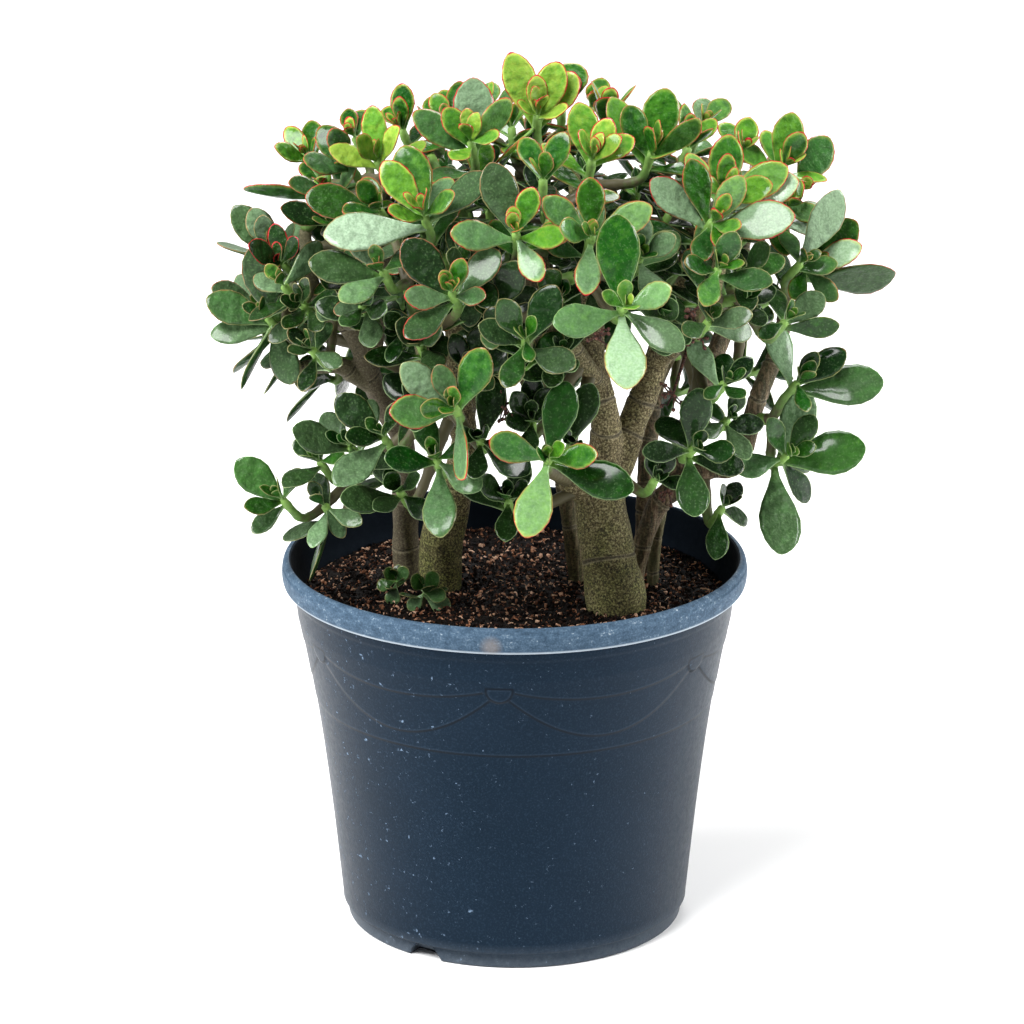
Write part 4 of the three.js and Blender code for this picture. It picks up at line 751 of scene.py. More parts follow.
def rooted_sprays(groups, wood, thicket, first_owner, ends_first=True):
    """Every spray's root is the end of a limb that wants it, or the place on the wood from which
    its stems run shortest and clear."""
    axes = [(owner, axis) for owner, limbs in enumerate(wood) for axis in limbs]
    ends = np.array([axis[-1] for _, axis in axes])
    at_ends = groups_at_ends(groups, ends) if ends_first else {}
    places = np.vstack([axis for _, axis in axes])
    owners = np.concatenate([np.full(len(axis), owner) for owner, axis in axes])
    fit = (places[:, 2] > SPRAY["start"]) & (places[:, 3] < SPRAY["thickest"])
    places, owners = places[fit], owners[fit]
    sprays = []
    for index, group in enumerate(groups):
        order = np.argsort(root_cost(group, places), kind="stable")[:SPRAY["tries"]]
        ranked = [(places[k], owners[k]) for k in order]
        if index in at_ends:
            ranked.insert(0, (ends[at_ends[index]], axes[at_ends[index]][0]))
        best = (-np.inf,)
        for place, owner in ranked:
            stems = spray_stems(place[:3], group, 4)
            room = least_room(stems, place, owner, thicket)
            if room > best[0]:
                best = (room, place, stems)
            if room > GAP:
                break
        for points, _ in best[2]:
            thicket.add(stem_samples(points), STEM["fork"], first_owner + index)
        sprays.append(dict(owner=first_owner + index, group=group, root=best[1], leaves=[]))
    return sprays


# ---- growing the plant ---------------------------------------------------------------------------

GROW_SEED = 7


def stands_in(points, boxes):
    """Whether any of the points shows in one of the boxes."""
    x, y = picture_place(points).T
    return any(np.any((x > left) & (x < right) & (y > top) & (y < bottom))
               for left, top, right, bottom in boxes)


def grow_leaf(wanted, rosette, spray, thicket, room, barred=(), **bending):
    """Adds a wanted leaf to its spray where it finds room and shows in no barred box."""
    leaf = clear_leaf(wanted, spray["owner"], thicket, room, **bending)
    if leaf and not stands_in(leaf_samples(leaf), barred):
        thicket.add(leaf_samples(leaf), room, spray["owner"])
        spray["leaves"].append({**leaf, "rosette": rosette})


def grow_plant():
    """The wood, and the sprays of the solids with their leaves."""
    thicket = Thicket()
    wood = [[limb_axis(route, 6) for route in routes] for routes in LIMBS.values()]
    for owner, limbs in enumerate(wood):
        for axis in limbs:
            thicket.add(axis[:, :3], axis[:, 3] + BARK_ROOM, owner)
    front = seen_rosettes(ROSETTES)
    rosettes = front + shell_rosettes(FAR_SIDE, front)
    sprays = rooted_sprays(grouped_rosettes(rosettes), wood, thicket, len(wood))
    random = draws(GROW_SEED)
    for rosette in rosettes:
        spray = next(s for s in sprays if any(r is rosette for r in s["group"]))
        for wanted in wanted_leaves(rosette, random):
            grow_leaf(wanted, rosette, spray, thicket, LEAF["clearance"])
    return thicket, wood, rosettes, sprays


# ---- leaves that only the render has -------------------------------------------------------------

# Boxes of the photograph in which it shows bare wood or the white behind the plant, as left, top,
# right and bottom: no leaf that the list leaves out may show there.
BARE = [(676, 322, 900, 620), (180, 384, 348, 620), (345, 326, 400, 424), (436, 404, 472, 462),
        (470, 456, 545, 500), (500, 380, 548, 428), (572, 322, 672, 640), (340, 500, 720, 660),
        (180, 30, 250, 200), (800, 30, 900, 215), (580, 30, 625, 96), (690, 30, 780, 110)]

# What these leaves keep clear by, how they may be made smaller and bent, how far an older one may
# face the viewer, and the first owner numbers of the shoots behind and of those inside.
EXTRA = dict(seed=21, room=1.5, young_room=0.7, sizes=(1, 0.8, 0.62), faces=0.15, behind=60,
             inside=100)
FEW_BENDS = [(0, 0), (-14, 0), (14, 0), (0, 16), (0, -16), (-28, 0), (28, 0)]


def add_small_leaves(rosette, spray, thicket, random, pairs, room):
    """Pairs of leaves that the solids leave out. Older ones don't stand before listed ones, and
    only young ones may show where the photograph has none."""
    to_eye = unit(EYE - rosette["heart"])
    for way, wanted in paired_leaves(rosette, pairs, random):
        if rosette["tips"] and way @ to_eye > EXTRA["faces"] and pairs is OLDER:
            continue
        grow_leaf(wanted, rosette, spray, thicket, room, () if pairs is YOUNG else BARE,
                  sizes=EXTRA["sizes"], bends=FEW_BENDS)


def dress_plant(thicket, wood, rosettes, sprays):
    """Adds the young and the older pairs to every spray, then the shoots behind and inside."""
    random = draws(EXTRA["seed"])
    for pairs, room in ((YOUNG, EXTRA["young_room"]), (OLDER, EXTRA["room"])):
        for spray in sprays:
            for rosette in spray["group"]:
                add_small_leaves(rosette, spray, thicket, random, pairs, room)
    deeper = seen_rosettes(DEEPER)
    behind = rooted_sprays([[r] for r in deeper], wood, thicket, EXTRA["behind"],
                           ends_first=False)
    for spray in behind:
        rosette = spray["group"][0]
        for wanted in wanted_leaves(rosette, random):
            grow_leaf(wanted, rosette, spray, thicket, EXTRA["room"], sizes=EXTRA["sizes"])
        add_small_leaves(rosette, spray, thicket, random, YOUNG, EXTRA["young_room"])
    inner = shell_rosettes(INNER, rosettes + deeper)
    inner += shell_rosettes(OUTER, rosettes + deeper + inner)
    inner = [r for r in inner if not stands_in(r["heart"][None], BARE)]
    inside = rooted_sprays([[r] for r in inner], wood, thicket, EXTRA["inside"],
                           ends_first=False)
    for spray in inside:
        for pairs in (PAIRS, YOUNG, OLDER):
            add_small_leaves(spray["group"][0], spray, thicket, random, pairs, EXTRA["room"])
    return behind + inside


# ---- meshes --------------------------------------------------------------------------------------


def grid_quads(rows, columns):
    """The quads of a grid of points in rows, each of which closes on itself."""
    i, k = np.meshgrid(np.arange(rows - 1), np.arange(columns), indexing="ij")
    following = (k + 1) % columns
    return np.stack([i * columns + k, i * columns + following, (i + 1) * columns + following,
                     (i + 1) * columns + k], -1).reshape(-1, 4)


def fan(centre, ring, flip):
    """Triangles from one point to a closed ring of points."""
    following = np.roll(ring, -1)
    pair = (following, ring) if flip else (ring, following)
    return np.stack([np.full(len(ring), centre), *pair], -1)


def part(points, quads, tris=None, material=0, **values):
    """One body of a mesh: its points, faces, material number and a value for each point."""
    tris = np.zeros((0, 3), int) if tris is None else tris
    return dict(points=np.asarray(points, float), quads=np.asarray(quads, int),
                tris=np.asarray(tris, int), material=material, values=values)


def new_mesh(name, parts, materials=()):
    """A mesh of all the parts, in metres, smooth, with their values as point attributes."""
    starts = np.cumsum([0] + [len(p["points"]) for p in parts])
    quads = np.vstack([p["quads"] + start for p, start in zip(parts, starts)])
    tris = np.vstack([p["tris"] + start for p, start in zip(parts, starts)])
    points = np.vstack([p["points"] for p in parts])
    mesh = bpy.data.meshes.new(name)
    mesh.vertices.add(len(points))
    mesh.vertices.foreach_set("co", (points * MM).astype(np.float32).ravel())
    corners = np.concatenate([quads.ravel(), tris.ravel()]).astype(np.int32)
    sizes = np.concatenate([np.full(len(quads), 4), np.full(len(tris), 3)]).astype(np.int32)
    mesh.loops.add(len(corners))
    mesh.loops.foreach_set("vertex_index", corners)
    mesh.polygons.add(len(sizes))
    mesh.polygons.foreach_set("loop_start", (np.cumsum(sizes) - sizes).astype(np.int32))
    mesh.polygons.foreach_set("loop_total", sizes)
    numbers = np.concatenate([np.full(len(p[kind]), p["material"])
                              for kind in ("quads", "tris") for p in parts])
    mesh.polygons.foreach_set("material_index", numbers.astype(np.int32))
    mesh.polygons.foreach_set("use_smooth", np.ones(len(sizes), bool))
    for key in parts[0]["values"]:
        value = np.concatenate([np.asarray(p["values"][key], np.float32) for p in parts])
        kind, field = ("FLOAT_COLOR", "color") if value.ndim == 2 else ("FLOAT", "value")
        mesh.attributes.new(key, kind, "POINT").data.foreach_set(field, value.ravel())
    for material in materials:
        mesh.materials.append(material)
    mesh.update(calc_edges=True)
    mesh.validate()
    return mesh


def place(name, mesh, slot, *nodes):
    """Puts a mesh into the scene as a piece of the plant that stands for the named solids."""
    piece = bpy.data.objects.new(name, mesh)
    bpy.context.scene.collection.objects.link(piece)
    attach(piece, "root")
    if nodes:
        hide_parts(*nodes)
    return piece


def applied(mesh, *modifiers):
    """The mesh after modifiers, each a kind and its settings."""
    piece = bpy.data.objects.new("shaping", mesh)
    bpy.context.scene.collection.objects.link(piece)
    for kind, settings in modifiers:
        modifier = piece.modifiers.new(kind, kind)
        for key, value in settings.items():
            setattr(modifier, key, value)
    graph = bpy.context.evaluated_depsgraph_get()
    result = bpy.data.meshes.new_from_object(piece.evaluated_get(graph))
    bpy.data.objects.remove(piece)
    return result


def mesh_points(mesh):
    """A mesh's points, in millimetres, and its normals."""
    points = np.zeros(len(mesh.vertices) * 3, np.float32)
    normals = np.zeros(len(mesh.vertices) * 3, np.float32)
    mesh.vertices.foreach_get("co", points)
    mesh.vertices.foreach_get("normal", normals)
    return points.reshape(-1, 3).astype(float) / MM, normals.reshape(-1, 3).astype(float)


# ---- leaf and stem bodies ------------------------------------------------------------------------

# The material numbers of a leafy mesh: its leaves and its stems, and how far from a rim a point
# counts that is near none.
LEAVES, STEMS = 0, 1
NO_RIM = 9.0

# A leaf's body: rings of eight points at stations along it. A ring runs from one rim over the
# upper face to the other rim and back below, fuller below than above.
STATIONS = np.array([0, 0.13, 0.28, 0.44, 0.6, 0.74, 0.855, 0.94, 0.987])
RING_ACROSS = np.array([1, 0.78, 0, -0.78, -1, -0.78, 0, 0.78])
RING_HEIGHT = np.array([0, 0.66, 0.9, 0.66, 0, -0.78, -1.15, -0.78])
FULLNESS = ([0, 0.15, 0.45, 0.8, 0.94, 1], [1.0, 0.95, 1.15, 0.85, 0.5, 0.2])


def leaf_bodies(leaves):
    """Every leaf as one closed body.

    A point at t along, s across and h high lies at base + t length along + s half side +
    (arch + curl + ripple + h thickness) face, where half follows the leaf's outline."""
    stack = {key: np.array([leaf[key] for leaf in leaves]) for key in
             ("base", "along", "side", "face", "length", "width", "arch", "cup", "sunk", "tone")}
    t, s, h = STATIONS[None, :, None], RING_ACROSS[None, None], RING_HEIGHT[None, None]
    length, width, arch, cup = (stack[k][:, None, None] for k in
                                ("length", "width", "arch", "cup"))
    half = width / 2 * spread(t)
    thick = length * LEAF["thickness"] / 2 * np.interp(t, *FULLNESS)
    ripple = 0.012 * length * s * np.sin(9 * t + 7 * stack["tone"][:, 3][:, None, None])
    rise = arch * length * (t - t * t) + cup * half * s * s + ripple * t + h * thick

    def lie(ahead, aside, above):
        return (stack["base"][:, None, None] + ahead[..., None] * stack["along"][:, None, None]
                + aside[..., None] * stack["side"][:, None, None]
                + above[..., None] * stack["face"][:, None, None])

    count, stations, sides = len(leaves), len(STATIONS), len(RING_ACROSS)
    body = lie(t * length + 0 * s, s * half, rise).reshape(count, -1, 3)
    root = (stack["base"] - stack["along"] * stack["sunk"][:, None])[:, None]
    tip = (stack["base"] + stack["along"] * stack["length"][:, None])[:, None]
    points = np.concatenate([body, root, tip], axis=1)
    per = points.shape[1]
    quads = grid_quads(stations, sides)[:, ::-1]
    last = (stations - 1) * sides
    tris = np.vstack([fan(per - 2, np.arange(sides), False),
                      fan(per - 1, last + np.arange(sides), True)])
    shift = (np.arange(count) * per)[:, None, None]
    edge = np.minimum((1 - abs(s)) * half, (1 - t) * length * 0.9 + 0 * s).reshape(count, -1)
    top = np.broadcast_to(np.sign(h), (count, stations, sides)).reshape(count, -1)
    ahead = np.broadcast_to(t, (count, stations, sides)).reshape(count, -1)
    pad = np.ones((count, 1))
    return part(points.reshape(-1, 3), (quads[None] + shift).reshape(-1, 4),
                (tris[None] + shift).reshape(-1, 3), LEAVES,
                edge=np.hstack([edge, NO_RIM * pad, 0 * pad]).ravel(),
                top=np.hstack([top, 0 * pad, 0 * pad]).ravel(),
                ahead=np.hstack([ahead, 0 * pad, pad]).ravel(),
                tone=np.repeat(stack["tone"], per, axis=0))


def swept(points, radii, sides, material=0, **values):
    """A closed tube: a ring of points round each point of a path, square to the way on. A fixed
    vector, made square to the way at every point, starts each ring, so the rings don't twist. Its
    far end comes to a blunt tip."""
    ahead = np.gradient(points, axis=0)
    ahead /= np.linalg.norm(ahead, axis=1)[:, None]
    helper = square_to(unit(points[-1] - points[0]))
    side = helper - ahead * (ahead @ helper)[:, None]
    side /= np.linalg.norm(side, axis=1)[:, None]
    other = np.cross(ahead, side)
    turn = np.linspace(0, 2 * math.pi, sides, endpoint=False)
    rings = (points[:, None] + radii[:, None, None] * (
        side[:, None] * np.cos(turn)[None, :, None]
        + other[:, None] * np.sin(turn)[None, :, None]))
    cap = points[-1] + ahead[-1] * radii[-1] * 0.6
    body = np.vstack([rings.reshape(-1, 3), points[:1], cap[None]])
    total = len(points) * sides
    tris = np.vstack([fan(total, np.arange(sides), True),
                      fan(total + 1, total - sides + np.arange(sides), False)])
    spread_values = {}
    for key, value in values.items():
        value = np.asarray(value, float)
        along = value if value.ndim == 2 or value.shape == (len(points),) else np.full(
            len(points), value)
        spread_values[key] = np.concatenate([np.repeat(along, sides, axis=0), along[:1],
                                             along[-1:]])
    return part(body, grid_quads(len(points), sides), tris, material, **spread_values)


def stem_bodies(spray, random):
    """The spray's green stems, with a swelling at each leaf node."""
    bodies = []
    for points, radii in spray_stems(spray["root"][:3], spray["group"], 10):
        reach = np.linalg.norm(np.diff(points, axis=0), axis=1).cumsum()
        reach = np.concatenate([[0], reach])
        fine = np.linspace(0, reach[-1], max(int(reach[-1] / 3), 4))
        path = np.stack([np.interp(fine, reach, points[:, k]) for k in range(3)], -1)
        below = reach[-1] - fine
        swell = 1 + 0.16 * np.exp(-((below % 12 - 6) / 1.6) ** 2)
        thick = np.interp(fine, reach, radii) * swell
        age = np.clip(below / 70, 0, 1)
        tone = np.stack([age, 0 * age, 0 * age, age * 0 + next(random)], -1)
        bodies.append(swept(path, thick, 8, STEMS, edge=NO_RIM, top=0, ahead=0, tone=tone))
    return bodies


# ---- wood ----------------------------------------------------------------------------------------

BARK = dict(voxel=1.6, scar_gap=(22, 46), scarred=8, seed=31, swell=0.9, groove=0.45)

# How mossy, how brown and how grey each trunk's bark is.
CASTS = {"trunk_right_front": (0.85, 0.0, 0.1), "trunk_right_back": (0.1, 0.75, 0.1),
         "trunk_right_inner": (0.2, 0.8, 0.0), "trunk_middle": (0.25, 0.7, 0.0),
         "trunk_left_front": (1.0, 0.15, 0.0), "trunk_left_back": (0.15, 0.1, 0.75)}

# Leaf scars that the photograph shows: the limb and the picture row where each rings it.
SHOWN_SCARS = {
    ("trunk_right_front", 0): (555, 488), ("trunk_right_front", 1): (430, 398),
    ("trunk_right_front", 2): (432, 402), ("trunk_right_back", 0): (545, 500),
    ("trunk_left_back", 0): (545, 497), ("trunk_middle", 0): (525,),
}


def scar_places(name, limb, reach, points, radii, random):
    """How far along a limb its leaf scars ring it: where the photograph shows one, and at uneven
    steps where the limb is thin."""
    rows = picture_place(points)[:, 1]
    shown = [reach[np.abs(rows - row).argmin()] for row in SHOWN_SCARS.get((name, limb), ())]
    places = []
    step = BARK["scar_gap"]
    along = reach[0] + step[0]
    while along < reach[-1]:
        thin = np.interp(along, reach, radii) < BARK["scarred"]
        if thin and all(abs(along - s) > step[0] * 0.8 for s in shown):
            places.append(along)
        along += step[0] + (step[1] - step[0]) * next(random)
    beyond = 1e6
    return np.array(shown + places + [beyond])


def trunk_mesh(name, routes, random):
    """A trunk with its limbs as one skin.

    The limbs' tubes are fused by a fine voxel grid and smoothed, so that forks are webbed. Then
    each point moves along its normal: out by a swelling round each leaf scar, in by the scar's
    groove, and by slow lumps along and round the limb."""
    tubes, samples = [], []
    for limb, route in enumerate(routes):
        axis = limb_axis(route, 8)
        tubes.append(swept(axis[:, :3], axis[:, 3], 20))
        fine = limb_axis(route, 24)
        steps = np.linalg.norm(np.diff(fine[:, :3], axis=0), axis=1)
        reach = np.concatenate([[0], steps.cumsum()])
        scars = scar_places(name, limb, reach, fine[:, :3], fine[:, 3], random)
        gap = reach[:, None] - scars[None]
        gap = gap[np.arange(len(gap)), np.abs(gap).argmin(axis=1)]
        samples.append(np.column_stack([fine, gap, reach + 100 * limb]))
    smooth = ("SMOOTH", dict(factor=0.5, iterations=6))
    mesh = applied(new_mesh(name, tubes),
                   ("REMESH", dict(mode="VOXEL", voxel_size=BARK["voxel"] * MM)), smooth)
    points, normals = mesh_points(mesh)
    samples = np.vstack(samples)
    nearest = np.concatenate([
        (np.linalg.norm(chunk[:, None] - samples[None, :, :3], axis=2) - samples[:, 3]).argmin(1)
        for chunk in np.array_split(points, max(len(points) // 4000, 1))])
    girth, gap, reach = samples[nearest, 3], samples[nearest, 4], samples[nearest, 5]
    way = points - samples[nearest, :3]
    turn = np.arctan2(way[:, 1], way[:, 0])
    ahead = samples[np.minimum(nearest + 1, len(samples) - 1), :3] - samples[nearest, :3]
    ahead /= np.maximum(np.linalg.norm(ahead, axis=1), 1e-6)[:, None]
    gap = gap + np.sum(way * ahead, axis=1) + 0.09 * girth * np.sin(2 * turn + reach / 9)
    size = np.clip(girth / 12, 0.35, 1.2)
    lumps = 0.45 * np.sin(3 * turn + reach / 11) + 0.35 * np.sin(reach / 7 + 2 * turn + 1)
    out = size * (BARK["swell"] * np.exp(-(gap / 4.5) ** 2) + lumps
                  - BARK["groove"] * 3 * np.exp(-(gap / 1.3) ** 2) - 0.4)
    points = points + normals * out[:, None]
    mesh.vertices.foreach_set("co", (points * MM).astype(np.float32).ravel())
    for key, value in dict(scar=np.abs(gap), girth=girth).items():
        mesh.attributes.new(key, "FLOAT", "POINT").data.foreach_set(
            "value", value.astype(np.float32))
    cast = np.tile([*CASTS[name], 1], (len(points), 1)).astype(np.float32)
    mesh.attributes.new("cast", "FLOAT_COLOR", "POINT").data.foreach_set("color", cast.ravel())
    mesh.polygons.foreach_set("use_smooth", np.ones(len(mesh.polygons), bool))
    mesh.update()
    return mesh


# ---- pot -----------------------------------------------------------------------------------------


# How far from every moulded line a point counts that isn't on the wall.
FAR_OFF = 99


def wall_radius(z):
    """The pot's wall: a cone that flares a little towards the neck."""
    up = (z - POT["foot_height"]) / (POT["neck_height"] - POT["foot_height"])
    flare = 0.72 * up + 0.28 * up ** 3
    return POT["belly"] + (POT["neck"] - POT["belly"]) * flare


def step_over(value):
    """A soft step from 0 below zero to 1 above it."""
    u = np.clip(value / POT["step"] + 0.5, 0, 1)
    return u * u * (3 - 2 * u)


def moulded_lines(azimuth, z):
    """How far a point of the wall lies above each moulded line: the two arcs that sag from knob
    to knob, the knob's half round and the plain ring below."""
    span = 360 / POT["swags"]
    share = ((azimuth - POT["first_knob"]) % span) / span
    sagging = 1 - (2 * share - 1) ** 2
    fall = 4 * np.abs(2 * share - 1) / (math.radians(span) * wall_radius(z))
    lower = z - (POT["knob_height"] - 1 - (POT["sag"] - 1) * sagging)
    upper = z - (POT["knob_height"] + 3 - (POT["upper_sag"] + 3) * sagging ** 0.8)
    aside = (0.5 - np.abs(share - 0.5)) * math.radians(span) * wall_radius(z)
    hang = POT["knob_height"] + 1 - z
    knob = POT["knob_radius"] - np.hypot(aside, np.maximum(hang, 0))
    knob = np.minimum(knob, hang + 1.5)
    lower, upper = (np.where(knob > -0.6, FAR_OFF, line / np.hypot(1, fall * sag))
                    for line, sag in ((lower, POT["sag"]), (upper, POT["upper_sag"])))
    return lower, upper, knob, z - POT["ring_height"]


def relief(lines, z):
    """How far the moulded relief stands out: at each line the wall steps out upwards."""
    lower, upper, knob, ring = (step_over(gap) for gap in lines)
    return (np.maximum(0.5 * lower + 0.5 * upper, 1.1 * knob) + 0.4 * ring
            + 0.4 * step_over(z - 248) - 0.8)


def notch_height(azimuth, radius):
    """How high the drain notches cut the foot: arches square to the way out, evenly spaced."""
    apart = 360 / POT["notches"]
    off = (azimuth - POT["first_notch"] + apart / 2) % apart - apart / 2
    across = radius * np.sin(np.radians(off)) / (POT["notch_width"] / 2)
    arch = np.interp(across, [-1, -0.92, -0.5, 0.5, 0.92, 1], [0, 0.45, 0.95, 0.95, 0.45, 0])
    return arch * POT["notch_height"]


def rounded(corners):
    """A profile with its corners rounded: each corner gives way to the curve of five points from
    one on the edge before it to one on the edge after it, as far off as its own measure."""
    out = []
    points = np.array([c[:2] for c in corners], float)
    for k, (_, _, soft) in enumerate(corners):
        here = points[k]
        if soft == 0 or k in (0, len(points) - 1):
            out.append(here[None])
            continue
        ends = [here + unit(points[k + d] - here) * min(
            soft, np.linalg.norm(points[k + d] - here) / 2) for d in (-1, 1)]
        t = np.linspace(0, 1, 5)[:, None]
        out.append((1 - t) ** 2 * ends[0] + 2 * t * (1 - t) * here + t * t * ends[1])
    return np.vstack(out)


def pot_mesh(material):
    """The whole pot as one closed grid: rows of a profile turned round the Z axis. Wall points
    move out by the relief, and those of the foot's underside rise into the drain notches. A
    corner of the profile is its radius, its height and how far its rounding reaches."""
    foot, top = POT["foot"], POT["height"]
    lip_base = top - POT["lip"]
    low = rounded([(0.01, 0, 0), (108, 0, 0), (109.4, 0, 0), (109.5, 0, 0), (116, 0, 0),
                   (foot - 2, 0, 0), (foot, 0.8, 1), (foot, 6, 0), (foot, 11.6, 1),
                   (wall_radius(12) - 0.6, 12.4, 0.8)])
    z = np.concatenate([np.linspace(13.6, 160, 22), np.linspace(163, 253, 92)])
    wall = np.stack([wall_radius(np.minimum(z, POT["neck_height"]))
                     + 3 * np.clip((z - POT["neck_height"]) / 24, 0, 1), z], -1)
    high = rounded([(161.5, lip_base + 0.4, 0.8), (168.2, lip_base - 0.6, 1.2),
                    (169.6, lip_base + 3, 3), (POT["rim"], top - 9, 4), (168.6, top - 1.5, 4),
                    (164.4, top + 0.1, 2.2), (162.9, top - 3, 2), (160.6, top - 24, 4),
                    (158.6, 245, 2), (153.6, 228, 2), (119, 14, 4), (117, POT["floor"], 4),
                    (0.01, POT["floor"], 0)])
    profile = np.vstack([low, wall, high])
    around = POT["around"]
    azimuth = np.linspace(0, 360, around, endpoint=False)[None]
    radius, height = (np.repeat(profile[:, k, None], around, axis=1) for k in (0, 1))
    on_wall = (np.arange(len(profile)) >= len(low)) & (
        np.arange(len(profile)) < len(low) + len(wall))
    lines = moulded_lines(azimuth, height)
    radius = radius + np.where(on_wall[:, None], relief(lines, height), 0)
    under = (height < POT["notch_height"] + 0.5) & (radius > 109.45) & (
        np.arange(len(profile))[:, None] < len(low))
    height = np.where(under, np.maximum(height, notch_height(azimuth, radius)), height)
    turn = np.radians(azimuth)
    points = np.stack([radius * np.cos(turn), radius * np.sin(turn), height], -1)
    points = points.reshape(-1, 3)
    count = len(profile) * around
    ends = np.array([[0, 0, 0], [0, 0, POT["floor"]]])
    tris = np.vstack([fan(count, np.arange(around), True),
                      fan(count + 1, count - around + np.arange(around), False)])
    festoon = np.stack([np.where(on_wall[:, None], gap, FAR_OFF) for gap in lines], -1)
    festoon = np.vstack([festoon.reshape(-1, 4), np.full((2, 4), FAR_OFF)])
    return new_mesh("pot_shell", [part(np.vstack([points, ends]),
                                       grid_quads(len(profile), around), tris,
                                       festoon=festoon)], [material])


# ---- soil ----------------------------------------------------------------------------------------

# side is the wall's profile below the top, as radius and height; crumb is the least and the
# greatest size, and spread how far from the middle the crumbs and the fibres lie.
SOIL = dict(rings=70, around=220, radius=157.2, side=((152, 226), (117.6, 14), (112, 5)),
            crumbs=16500, crumb=(1.1, 4.6), fibres=520, spread=(156, 150), seed=41)


def soil_height(x, y):
    """The compost's top: slow humps and finer lumps as sums of sines, a little lower at the
    wall and heaped round the thickest trunks."""
    slow = 2.2 * np.sin(x / 31 + 1) * np.cos(y / 27) + 1.2 * np.sin((x + y) / 17)
    fine = 0.9 * np.sin(x / 4.3 + 2 * np.sin(y / 9)) * np.sin(y / 3.7 + x / 21)
    edge = -3.5 * np.clip((np.hypot(x, y) - 140) / 20, 0, 1)
    return SOIL_LEVEL + slow + fine + edge


def soil_bed():
    """The compost as one closed body: rings from the middle to the wall, then down it."""
    share = np.sqrt(np.linspace(0.0002, 1, SOIL["rings"]))
    turn = np.linspace(0, 2 * math.pi, SOIL["around"], endpoint=False)
    radius = SOIL["radius"] * share[:, None]
    x, y = radius * np.cos(turn), radius * np.sin(turn)
    top = np.stack([x, y, soil_height(x, y)], -1)
    side = [np.stack([r * np.cos(turn), r * np.sin(turn), 0 * turn + z], -1)
            for r, z in SOIL["side"]]
    points = np.vstack([top.reshape(-1, 3), *side])
    rows, around = SOIL["rings"] + len(side), SOIL["around"]
    ends = np.array([[0, 0, soil_height(0, 0)], [0, 0, SOIL["side"][-1][1]]])
    count = rows * around
    tris = np.vstack([fan(count, np.arange(around), False),
                      fan(count + 1, count - around + np.arange(around), True)])
    quads = grid_quads(rows, around)[:, ::-1]
    shade = np.full((len(points) + 2, 4), 0.3)
    return part(np.vstack([points, ends]), quads, tris, shade=shade)


def crumbs(count, random):
    """Crumbs of compost and chips of bark: eight-cornered lumps, each corner pushed at random,
    squashed along one way, turned at random and dropped on the soil."""
    spot = random.uniform(0, 1, (count, 2))
    radius, turn = SOIL["spread"][0] * np.sqrt(spot[:, 0]), 2 * math.pi * spot[:, 1]
    centre = np.stack([radius * np.cos(turn), radius * np.sin(turn)], -1)
    low, high = SOIL["crumb"]
    size = low + (high - low) * random.uniform(0, 1, count) ** 3
    corners = np.array([(x, y, z) for x in (-1, 1) for y in (-1, 1) for z in (-1, 1)], float)
    corners = corners[None] * random.uniform(0.45, 1, (count, 8, 3))
    corners *= np.stack([np.ones(count), random.uniform(0.35, 0.9, count),
                         random.uniform(0.2, 0.6, count)], -1)[:, None]
    axes, _ = np.linalg.qr(random.normal(size=(count, 3, 3)) + np.diag([0, 0, 1.5]))
    lumps = np.einsum("nij,nkj->nki", axes, corners) * (size / 2)[:, None, None]
    place_z = soil_height(centre[:, 0], centre[:, 1]) + 0.25 * size
    lumps += np.column_stack([centre, place_z])[:, None]
    cube = np.array([(0, 1, 3, 2), (4, 6, 7, 5), (0, 4, 5, 1), (2, 3, 7, 6), (0, 2, 6, 4),
                     (1, 5, 7, 3)])
    flip = np.linalg.det(axes) < 0
    quads = np.where(flip[:, None, None], cube[None, :, ::-1], cube[None])
    quads = quads + (8 * np.arange(count))[:, None, None]
    shade = np.repeat(random.uniform(0, 1, (count, 4)), 8, axis=0)
    return part(lumps.reshape(-1, 3), quads.reshape(-1, 4), shade=shade)


def fibres(count, random):
    """Pale coir fibres: thin curled strands of four points that lie on the soil."""
    bodies = []
    for _ in range(count):
        radius, turn, heading = random.uniform(0, 1, 3) * (1, 2 * math.pi, 2 * math.pi)
        start = SOIL["spread"][1] * math.sqrt(radius) * np.array([math.cos(turn),
                                                                  math.sin(turn)])
        length, curl = random.uniform(2.5, 8), random.uniform(-1.6, 1.6)
        bearing = heading + curl * np.linspace(0, 1, 5)
        path = start + np.cumsum(np.stack([np.cos(bearing), np.sin(bearing)], -1), axis=0) * (
            length / 5)
        lift = 1.2 + 1.4 * random.uniform() * np.sin(np.linspace(0, math.pi, 5))
        path = np.column_stack([path, soil_height(path[:, 0], path[:, 1]) + lift])
        tint = np.array([random.uniform(0.7, 1.05), 0, 0, 1])
        bodies.append(swept(path, np.full(5, random.uniform(0.22, 0.55)), 4,
                            shade=np.tile(tint, (5, 1))))
    return bodies


# ---- seedlings and flower remains ----------------------------------------------------------------

# Two seedlings: the foot in the photograph with its depth, height, leaf length, pairs, roll and
# where the tips of the leaves show that face the viewer, with their lengths.
SEEDLINGS = {
    "seedling_front": ((424, 612, -34), 16, 20, 3, 0.4,
                       [(411, 577, 19), (438, 573, 20), (446, 598, 18), (409, 611, 14),
                        (450, 611, 18), (428, 584, 10)]),
    "seedling_back": ((396, 600, -14), 17, 15, 3, 1.2,
                      [(384, 570, 14), (377, 588, 12), (408, 568, 16), (391, 606, 13)]),
}


